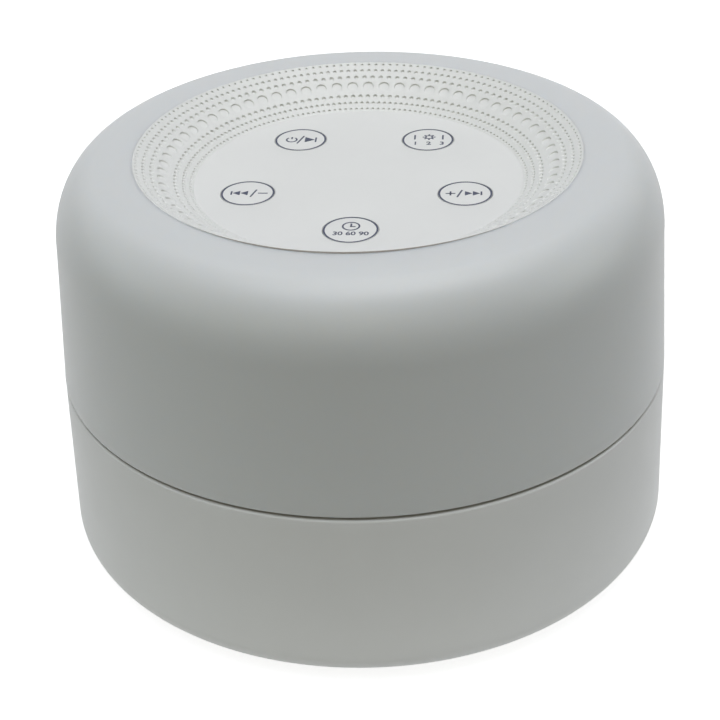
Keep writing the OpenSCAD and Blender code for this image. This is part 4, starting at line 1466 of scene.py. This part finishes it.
@dataclass
class Dish:
    """The sunken control panel: a floor with five key holes and a wall with seven dimple rows."""

    keys: "Keys"
    finish: Finish = DISH_WHITE
    floor_radius: float = 32.3
    floor_round: float = 0.5
    depth: float = 6.4
    thickness: float = 2.0
    crest_inset: float = 0.3
    crest_drop: float = 0.1
    rim_height: float = 2.8
    rim_wall: float = 1.3
    front_in: float = 0.85
    circle: int = 720
    hub_radius: float = 9.0
    hub_points: int = 60
    spoke_steps: int = 12
    hole_round: float = 0.06
    skirt_depth: float = 4.0
    skirt_wall: float = 1.5
    column_wall: float = 1.9
    column_gap: float = 0.3
    screw_circle: float = 31.0
    rows: list[DimpleRow] = field(default_factory=lambda: [
        DimpleRow(180, 32.92, 0.64, 0.30, 32.5, 33.6, 0.5),
        DimpleRow(180, 34.28, 0.78, 0.32, 33.6, 35.02, 0.5),
        DimpleRow(144, 35.80, 1.0, 0.34, 35.02, 36.75, 0.25, aside=0.25),
        DimpleRow(72, 38.25, 2.2, 0.33, 36.75, 39.5, 0.5, sides=6, lean=0.09),
        DimpleRow(144, 40.22, 1.0, 0.34, 39.5, 41.0, 1.75),
        DimpleRow(180, 41.80, 0.80, 0.32, 41.0, 42.5, 0.5),
        DimpleRow(180, 43.20, 0.60, 0.30, 42.5, 43.57, 0.5),
    ])

    def __post_init__(self) -> None:
        """Takes the dish's rim from its CAD node and works out the slope."""
        high = node_box("control_dish")[1]
        self.rim_radius, self.top = high[0], high[2]
        self.floor_z = self.top - self.depth
        run = self.rim_radius - self.crest_inset - self.floor_radius
        self.slope = math.atan2(self.depth - self.crest_drop, run)
        self.under_z = self.floor_z - self.thickness

    def wall_z(self, radius: float | np.ndarray) -> float | np.ndarray:
        """Height of the sloping wall at a radius."""
        return self.floor_z + (radius - self.floor_radius) * math.tan(self.slope)

    def surface(
        self, radius: np.ndarray, angle: np.ndarray, depth: np.ndarray | float = 0.0
    ) -> np.ndarray:
        """A point on the sloping wall, sunk square to it: its height grows with the radius.

        Args:
            radius: Radius of the point at the surface.
            angle: Angle round the axis, in degrees.
            depth: How deep the point lies under the surface.

        Returns:
            The points.
        """
        turn = np.radians(angle)
        reach = radius + depth * math.sin(self.slope)
        height = self.wall_z(radius) - depth * math.cos(self.slope)
        x, y = reach * np.cos(turn), reach * np.sin(turn)
        return np.stack(np.broadcast_arrays(x, y, height), axis=-1)

    def dimples(self, shell: Solid, row: DimpleRow) -> None:
        """Adds one row of cells, each a patch of the wall with a dimple in it.

        A ring's point keeps the direction that the cell's border point has from the dimple's
        centre, so the border and the rings join as one grid.

        Args:
            shell: The solid to add to.
            row: The row.
        """
        border = row.outline(self.circle)
        pitch = 360 / row.count
        centres = (row.first + pitch * np.arange(row.count))[:, None] + row.aside
        radius = row.inner + border[:, 1] * (row.outer - row.inner)
        turn = border[:, 0] * pitch - row.aside
        up = (radius - row.radius) / math.cos(self.slope)
        direction = np.arctan2(up, np.radians(turn) * radius)
        rings = [self.surface(radius[None], centres + turn[None])]
        for reach, depth in row.section():
            at = row.radius + reach * np.sin(direction) * math.cos(self.slope)
            aside = np.degrees(reach * np.cos(direction) / at)
            sunk = row.sink(reach, depth, direction)
            rings.append(self.surface(at[None], centres + aside[None], sunk[None]))
        shell.grid(np.stack(rings, axis=1), wrap=True)
        heart = self.surface(np.full(row.count, row.radius), centres[:, 0], row.depth)
        shell.fan(rings[-1], heart)

    def sector(self, rim: float) -> np.ndarray:
        """Border of the part of the floor that holds the first key's hole.

        Args:
            rim: Radius of the floor's outer edge.

        Returns:
            Radius and angle of each point.
        """
        middle, half = self.keys.angles[0], self.keys.step / 2
        outer = np.linspace(middle - half, middle + half, self.circle // 5 + 1)
        inner = np.linspace(middle - half, middle + half, self.hub_points // 5 + 1)[::-1]
        side = np.linspace(rim, self.hub_radius, self.spoke_steps + 1)
        return np.concatenate([
            np.column_stack([np.full(len(outer) - 1, rim), outer[:-1]]),
            np.column_stack([side[:-1], np.full(self.spoke_steps, outer[-1])]),
            np.column_stack([np.full(len(inner) - 1, self.hub_radius), inner[:-1]]),
            np.column_stack([side[::-1][:-1], np.full(self.spoke_steps, outer[0])]),
        ])

    def floor(self, shell: Solid, height: float, rim: float, edge: float) -> None:
        """Adds the floor's upper or lower face as five sectors round the key holes and a hub.

        Args:
            shell: The solid to add to.
            height: Height of the face.
            rim: Radius of the face's outer edge.
            edge: Rounding of the key holes' edges, downwards, or 0.
        """
        keys, walk = self.keys, self.sector(rim)
        bend = np.radians(np.linspace(0, 90, 4)) if edge else np.zeros(1)
        for index in range(len(keys.names)):
            turn = np.radians(walk[:, 1] + keys.step * index)
            border = walk[:, :1] * np.column_stack([np.cos(turn), np.sin(turn)])
            centre = np.array(polar(keys.circle_radius, keys.angles[0] + keys.step * index))
            out = unit(border - centre)
            rings = [level(border, height)]
            for b in bend:
                ring = centre + out * (keys.hole_radius + edge * (1 - math.sin(b)))
                rings.append(level(ring, height - edge * (1 - math.cos(b))))
            if edge:
                rings.append(level(ring, self.under_z))
            shell.grid(np.stack(rings), wrap=True)
        around = np.arange(self.hub_points) * 360 / self.hub_points
        spin = np.radians(keys.angles[0] - keys.step / 2 + around)
        hub = self.hub_radius * np.column_stack([np.cos(spin), np.sin(spin)])
        shell.cap(level(hub, height)[None])

    def build(self) -> None:
        """Makes the dish with its dimples, its rim, its underside and the bosses under it."""
        shell = Solid()
        for row in self.rows:
            self.dimples(shell, row)
        first, last = self.rows[0].inner, self.rows[-1].outer
        foot = rounded([
            (first - 2, self.floor_z, 0), (self.floor_radius, self.floor_z, self.floor_round),
            (first, self.wall_z(first), 0),
        ], 4, closed=False)[1:]
        angles = np.arange(self.circle) * 360 / self.circle
        shell.grid(turned(foot, angles), wrap=True)
        self.floor(shell, self.floor_z, foot[0][0], self.hole_round)
        bend = self.floor_radius + self.thickness * math.tan(self.slope / 2)
        rim, rim_foot = self.rim_radius, self.top - self.rim_height
        back = rim - self.rim_wall
        back_z = self.wall_z(back) - self.thickness / math.cos(self.slope)
        section = rounded([
            (last, self.wall_z(last), 0), (rim - 0.17, self.top, 0.06),
            (rim - 0.02, self.top - 0.05, 0.05), (rim, rim_foot, 0.1), (back, rim_foot, 0.1),
            (back, back_z, 0.3), (bend, self.under_z, 1.0), (bend - 2, self.under_z, 0),
        ], 4, closed=False)
        shell.grid(turned(section, angles), wrap=True)
        self.floor(shell, self.under_z, bend - 2, 0.0)
        self.bosses(shell)
        shell.draw_in(self.front_in, 0.0, (37.0, 43.5), (self.top - 3.3, self.top - 0.7))
        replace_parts(shell.make("dish_panel", "housing", self.finish, sharp=32), "control_dish")

    def bosses(self, shell: Solid) -> None:
        """Adds the skirt round the light column and the screw bosses over the key board.

        Args:
            shell: The solid to add to.
        """
        under, board = self.under_z, node_box("key_board")[1][2]
        inner = node_box("light_column")[1][0] - self.column_wall + self.column_gap
        outer, foot = inner + self.skirt_wall, under - self.skirt_depth
        shell.revolve(rounded([
            (inner, foot, 0.2), (outer, foot, 0.3), (outer, under + 1, 0), (inner, under + 0.5, 0),
        ]), 180)
        bosses = [(2.8, 1.1, self.screw_circle, angle) for angle in (45, 135, 225, 315)]
        between = [angle + self.keys.step / 2 for angle in self.keys.angles]
        bosses += [(2.4, 0.9, self.keys.circle_radius, angle) for angle in between]
        for wide, bore, circle, angle in bosses:
            section = np.array([
                (bore, board), (wide, board), (wide, under + 0.3), (0, under + 0.3),
                (0, under - 0.4), (bore, under - 0.4),
            ])
            shell.revolve(section, 32, polar(circle, angle))


@dataclass
class Keys:
    """Five press keys on a circle in the dish, each with a printed ring and printed signs."""

    names: tuple[str, ...] = ("power", "lamp", "next", "timer", "previous")
    first_angle: float = 126.0
    step: float = 72.0
    circle_radius: float = 22.2
    gap: float = 0.12
    flange: float = 1.0
    flange_heights: Spot = (2.95, 2.15)
    stem_radius: float = 1.5
    ink: float = 0.02
    ink_root: float = 0.01
    ring_outer: float = 5.21
    ring_width: float = 0.37
    stroke: float = 0.345

    def __post_init__(self) -> None:
        """Takes the caps' size and height from a CAD node."""
        low, high = node_box("timer_key")
        self.top, self.foot = high[2], low[2]
        self.flange_radius = (high[0] - low[0]) / 2
        self.radius = self.flange_radius - self.flange
        self.hole_radius = self.radius + self.gap
        self.angles = [self.first_angle - self.step * i for i in range(len(self.names))]

    def build(self) -> None:
        """Makes each cap with its signs."""
        for name, angle in zip(self.names, self.angles):
            centre = polar(self.circle_radius, angle)
            self.cap(name, centre)
            marks = Signs(centre, self.top - self.ink_root, self.top + self.ink, self.stroke)
            marks.ring((0, 0), self.ring_outer, self.ring_width)
            getattr(self, name + "_sign")(marks)
            marks.solid.make(name + "_signs", name + "_button", KEY_INK)

    def cap(self, name: str, centre: Spot) -> None:
        """Makes one cap: a flat top with a fine edge, a retaining flange and the stem under it.

        Args:
            name: The key's name.
            centre: Where its axis stands.
        """
        under, ledge = (self.top - drop for drop in self.flange_heights)
        wide, stem = self.flange_radius, self.stem_radius
        section = rounded([
            (0, self.top, 0), (self.radius, self.top, 0.06), (self.radius, ledge, 0.1),
            (wide, ledge, 0.15), (wide, under, 0.15), (stem, under, 0.3),
            (stem, self.foot, 0.2), (0, self.foot, 0),
        ], 4, closed=False)
        key = Solid()
        key.revolve(section, 144, centre, closed=False)
        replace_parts(key.make(name + "_cap", name + "_button", KEY_WHITE), name + "_key")

    def power_sign(self, marks: "Signs") -> None:
        """A power sign, a slash, and a triangle against a bar.

        Args:
            marks: The print to add to.
        """
        marks.arc((-1.87, 0.0), 1.22, -232, 52)
        marks.bars(((-1.87, 0.35), (-1.87, 1.3)), ((-0.63, -1.8), (0.56, 1.84)))
        marks.triangle((0.87, 0.05), (2.9, 0.05), 2.5)
        marks.bars(((3.1, -1.1), (3.1, 1.1)))

    def lamp_sign(self, marks: "Signs") -> None:
        """A small sun between two bars, with plain step numbers under it.

        Args:
            marks: The print to add to.
        """
        sun, inner, outer = np.array([0.2, 1.25]), 0.84, 1.34
        marks.bars(*(((x, 0.1), (x, 2.25)) for x in (-2.68, 3.02)))
        marks.ring(tuple(sun), inner, self.stroke * 0.9)
        for turn in range(0, 360, 45):
            ray = np.array(polar(1.0, turn))
            marks.bars((sun + ray * (inner - 0.05), sun + ray * outer))
        for x, figure in zip((-2.5, 0.2, 2.9), "123"):
            marks.text(figure, (x, -1.8), 1.5)

    def next_sign(self, marks: "Signs") -> None:
        """A plus, a slash, and two triangles against a bar.

        Args:
            marks: The print to add to.
        """
        marks.bars(((-3.8, 0.0), (-1.9, 0.0)), ((-2.85, -0.87), (-2.85, 0.9)))
        marks.bars(((-1.55, -1.6), (-0.62, 1.5)))
        marks.triangle((-0.08, 0.05), (1.38, 0.05), 1.9)
        marks.triangle((1.45, 0.05), (2.88, 0.05), 1.9)
        marks.bars(((3.1, -0.7), (3.1, 0.85)))

    def timer_sign(self, marks: "Signs") -> None:
        """A clock face with its two hands, with plain minute numbers under it.

        Args:
            marks: The print to add to.
        """
        marks.ring((0, 1.4), 1.74, self.stroke)
        marks.bars(((0, 1.15), (0, 2.5)), ((-0.2, 1.25), (0.85, 1.25)))
        marks.text("30 60 90", (0.1, -1.6), 1.45)

    def previous_sign(self, marks: "Signs") -> None:
        """Two triangles against a bar, a slash and a minus.

        Args:
            marks: The print to add to.
        """
        marks.bars(((-3.2, -0.7), (-3.2, 0.85)))
        marks.triangle((-1.52, 0.05), (-2.98, 0.05), 1.9)
        marks.triangle((0.02, 0.05), (-1.45, 0.05), 1.9)
        marks.bars(((0.66, -1.6), (1.6, 1.55)), ((2.0, 0.0), (3.9, 0.0)))


class Signs:
    """Thin raised print on a key, drawn with strokes of one width."""

    corner: float = 0.08
    cap_share: float = 0.73

    def __init__(self, centre: Spot, low: float, high: float, stroke: float) -> None:
        """Starts the print.

        Args:
            centre: Middle of the key.
            low: Height of the print's foot.
            high: Height of its top.
            stroke: Width of a stroke.
        """
        self.centre = np.array(centre)
        self.low, self.high, self.stroke = low, high, stroke
        self.solid = Solid()

    def raise_up(self, outline: np.ndarray) -> None:
        """Raises an outline, given from the key's middle, to the print's thickness."""
        self.solid.prism(outline + self.centre, self.low, self.high)

    def ring(self, place: Spot, outer: float, width: float) -> None:
        """A full circle of the given outer radius and line width.

        Args:
            place: The circle's middle, from the key's.
            outer: Its outer radius.
            width: Width of its line.
        """
        inner, low, high = outer - width, self.low, self.high
        section = np.array([(inner, low), (outer, low), (outer, high), (inner, high)])
        x, y = self.centre + place
        self.solid.revolve(section, 144 if outer > 3 else 48, (x, y))

    def arc(self, place: Spot, outer: float, start: float, end: float) -> None:
        """Part of a circle, between two angles in degrees.

        Args:
            place: The circle's middle, from the key's.
            outer: Its outer radius.
            start: First angle.
            end: Last angle.
        """
        wide = ellipse(place, (outer, outer), (start, end), 32)
        narrow = ellipse(place, (outer - self.stroke,) * 2, (end, start), 32)
        self.raise_up(np.vstack([wide, narrow]))

    def bars(self, *ends: tuple[Spot, Spot]) -> None:
        """Straight strokes with slightly rounded corners, each from one point to another.

        Args:
            ends: The two ends of each stroke.
        """
        for start, end in ends:
            a, b = np.array(start), np.array(end)
            along = unit((b - a)[None])[0]
            aside = np.array([-along[1], along[0]]) * self.stroke / 2
            corners = (a - aside, b - aside, b + aside, a + aside)
            self.raise_up(rounded([(*p, self.stroke * 0.25) for p in corners], 3))

    def triangle(self, foot: Spot, tip: Spot, width: float) -> None:
        """A filled triangle.

        Args:
            foot: Middle of its upright side.
            tip: The corner across from it.
            width: Length of the upright side.
        """
        a, aside = np.array(foot), np.array([0, width / 2])
        corners = (a - aside, np.array(tip), a + aside)
        self.raise_up(rounded([(*p, self.corner) for p in corners], 3))

    def text(self, words: str, place: Spot, height: float) -> None:
        """Plain figures, centred on a point, with their walls and both faces closed.

        Args:
            words: The figures.
            place: Middle of the line of figures.
            height: Height of a figure.
        """
        curve = bpy.data.curves.new("figures", "FONT")
        curve.body = words
        curve.align_x, curve.align_y = "CENTER", "CENTER"
        curve.size = height / self.cap_share
        curve.space_character = 0.97
        curve.offset = self.stroke * 0.13
        curve.resolution_u = 3
        curve.extrude = (self.high - self.low) / 2
        helper = bpy.data.objects.new("figures", curve)
        bpy.context.scene.collection.objects.link(helper)
        mesh = bpy.data.meshes.new_from_object(helper)
        middle = np.array([*(self.centre + place), (self.low + self.high) / 2])
        points = np.empty(len(mesh.vertices) * 3, np.float32)
        mesh.vertices.foreach_get("co", points)
        number = self.solid.place(points.reshape(-1, 3).astype(float) + middle)
        sizes = np.array([len(p.vertices) for p in mesh.polygons])
        corner = np.empty(len(mesh.loops), np.int32)
        mesh.loops.foreach_get("vertex_index", corner)
        starts = np.cumsum(sizes) - sizes
        for size in np.unique(sizes):
            rows = starts[sizes == size][:, None] + np.arange(size)[None]
            self.solid.faces.append(number[corner[rows]])
        bpy.data.objects.remove(helper)
        bpy.data.meshes.remove(mesh)


@dataclass
class Spider:
    """The speaker's sprung cloth ring, raised at the coil so that the cone's neck can rise."""

    waves: int = 4
    wave_height: float = 0.35
    wave_points: int = 12
    thickness: float = 0.3
    rise: float = 0.85
    run: float = 4.0
    coil: float = 0.4

    def build(self) -> None:
        """Makes the ring: sine waves along the radius, plus a smooth rise towards the coil."""
        low, high = node_box("speaker_spider")
        inner = node_box("voice_coil")[1][0] - self.coil
        share = np.linspace(0, 1, self.wave_points * self.waves + 1)
        radius = inner + (high[0] - inner) * share
        wave = self.wave_height * np.sin(2 * math.pi * self.waves * share)
        lift = self.rise * (1 - smooth((radius - inner) / self.run))
        face = np.column_stack([radius, (low[2] + high[2] + self.thickness) / 2 + wave + lift])
        ring = Solid()
        ring.revolve(np.vstack([face, face[::-1] - [0, self.thickness]]), 96)
        piece = ring.make("speaker_suspension", "housing", SPIDER_CLOTH, sharp=60)
        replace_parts(piece, "speaker_spider")


class Innards:
    """Everything sealed inside, which keeps its CAD shape and gets its finish by slot."""

    def __init__(self, record: dict) -> None:
        """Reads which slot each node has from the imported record."""
        self.slots = {row["node"]: row["material_slot"] for row in record["subparts"]}
        self.finishes = {finish.slot: finish for finish in INNER_FINISHES}

    def dress(self) -> None:
        """Gives every CAD node that still shows the material of its slot."""
        for name, obj in frame["nodes"].items():
            if obj.hide_render:
                continue
            finish = self.finishes[self.slots[name]]
            obj.data.materials.clear()
            obj.data.materials.append(finish.material())
            log.info("%s: %s", name, finish.name)


# ---------------------------------------------------------------- studio


@dataclass(frozen=True)
class Lamp:
    """A far, soft lamp that shines from one side of the room.

    Its light is what falls on a face turned to it, and its angle is its width in the sky.
    """

    tilt: float
    azimuth: float
    light: Colour
    angle: float = 40.0


@dataclass
class Studio:
    """Camera, floor and the light of a pale room."""

    azimuth: float = 4.64
    elevation: float = 35.126
    distance: float = 409.98
    target_z: float = 2.0
    yaw: float = 0.14216
    pitch: float = 3.99498
    roll: float = 1.95221
    lens: float = 94.0775
    floor_rings: tuple[float, ...] = (0, 60, 120, 200, 320, 500, 800, 1500, 4000)
    floor_segments: int = 96
    floor_near: Spot = (70.0, 0.65)
    floor_far: Spot = (150.0, 0.2)
    floor_shown: float = 0.5
    floor_lift: float = 0.84
    lamps: tuple[Lamp, ...] = (
        Lamp(0, 0, (0.79, 0.78, 0.79)),
        Lamp(20, 0, (0.61, 0.625, 0.655)),
        Lamp(20, 225, (0.465, 0.49, 0.545)),
        Lamp(35, 270, (0.26, 0.27, 0.295)),
        Lamp(60, 270, (0.235, 0.22, 0.13)),
        Lamp(78, 0, (0.455, 0.48, 0.45)),
        Lamp(78, 180, (0.24, 0.265, 0.275)),
        Lamp(78, 225, (0.205, 0.215, 0.15)),
        Lamp(33, 90, (0.39, 0.39, 0.405), 30.0),
    )

    def build(self) -> None:
        """Sets the view transform, and makes the camera, the light and the floor."""
        bpy.context.scene.view_settings.view_transform = "Standard"
        self.camera()
        self.light()
        self.room()
        self.floor()

    def camera(self) -> None:
        """Stands the camera on its azimuth and elevation, then adds its yaw, pitch and roll."""
        a, e = math.radians(self.azimuth), math.radians(self.elevation)
        back = Vector((math.sin(a) * math.cos(e), -math.cos(a) * math.cos(e), math.sin(e)))
        data = bpy.data.cameras.new("camera")
        data.lens, data.sensor_width = self.lens, 36.0
        data.clip_start, data.clip_end = 0.01, 50.0
        camera = bpy.data.objects.new("camera", data)
        look = (-back).to_track_quat("-Z", "Y").to_matrix().to_4x4()
        turn = rotation(self.yaw, "Y") @ rotation(self.pitch, "X") @ rotation(-self.roll, "Z")
        place = back * self.distance * MM + Vector((0, 0, self.target_z * MM))
        camera.matrix_world = Matrix.Translation(place) @ look @ turn
        bpy.context.scene.collection.objects.link(camera)
        bpy.context.scene.camera = camera

    def light(self) -> None:
        """Hangs the lamps, each as strong as its light's greatest part."""
        for number, lamp in enumerate(self.lamps):
            data = bpy.data.lights.new(f"lamp_{number}", "SUN")
            data.energy = max(lamp.light)
            data.color = [part / data.energy for part in lamp.light]
            data.angle = math.radians(lamp.angle)
            obj = bpy.data.objects.new(data.name, data)
            obj.matrix_world = rotation(lamp.azimuth, "Z") @ rotation(lamp.tilt, "Y")
            bpy.context.scene.collection.objects.link(obj)

    def room(self) -> None:
        """A dark room that the camera, glossy faces and clear ones see as white."""
        world = bpy.data.worlds.new("pale_room")
        bpy.context.scene.world = world
        world.use_nodes = True
        world.node_tree.nodes.clear()
        graph = Graph(world.node_tree)
        shown = {"Color": (1, 1, 1, 1), "Strength": graph.seen()}
        white = graph.add("ShaderNodeBackground", shown)
        output = graph.add("ShaderNodeOutputWorld")
        graph.tree.links.new(white.outputs[0], output.inputs["Surface"])

    def floor(self) -> None:
        """A round pale floor. The camera sees it as white with the object's shadow."""
        rings = np.array(self.floor_rings, float)
        angles = np.arange(self.floor_segments) * 360 / self.floor_segments
        disc = Solid()
        disc.grid(turned(level(rings[:, None], 0.0), angles), wrap=True)
        mesh = bpy.data.meshes.new("floor")
        mesh.from_pydata((disc.points[0] * MM).tolist(), [], disc.faces[0].tolist())
        mesh.materials.append(self.floor_finish())
        finished(mesh, "floor", 30)

    def floor_finish(self) -> bpy.types.Material:
        """The floor's material: plain and darker further out for light that bounces, pale if seen.

        Returns:
            The material.
        """
        made = bpy.data.materials.new("pale_floor")
        made.use_nodes = True
        made.node_tree.nodes.clear()
        graph = Graph(made.node_tree)
        (near, pale), (far, dark) = self.floor_near, self.floor_far
        ramp = graph.spread(graph.length(graph.place()), near * MM, far * MM, pale, dark)
        tint = graph.add("ShaderNodeCombineColor", {0: ramp, 1: ramp, 2: ramp}).outputs[0]
        plain = graph.add("ShaderNodeBsdfDiffuse", {"Color": tint})
        grey = graph.add("ShaderNodeBsdfDiffuse", {"Color": (*(self.floor_shown,) * 3, 1)})
        glow = {"Color": (1, 1, 1, 1), "Strength": self.floor_lift}
        lift = graph.add("ShaderNodeEmission", glow)
        shown = graph.add("ShaderNodeAddShader", {0: grey.outputs[0], 1: lift.outputs[0]})
        ways = {0: graph.seen(), 1: plain.outputs[0], 2: shown.outputs[0]}
        mix = graph.add("ShaderNodeMixShader", ways)
        output = graph.add("ShaderNodeOutputMaterial")
        graph.tree.links.new(mix.outputs[0], output.inputs["Surface"])
        return made


def rotation(angle: float, axis: str) -> Matrix:
    """A turn by an angle in degrees round an axis."""
    return Matrix.Rotation(math.radians(angle), 4, axis)


def main() -> None:
    """Builds the sub-assemblies in order, dresses what stays CAD, and sets the studio up."""
    logging.basicConfig(level=logging.INFO, format="%(name)s %(message)s")
    Studio().build()
    Base().build()
    Shade().build()
    keys = Keys()
    Dish(keys).build()
    keys.build()
    Spider().build()
    Innards(frame["record"]).dress()


if __name__ == "__main__":
    main()
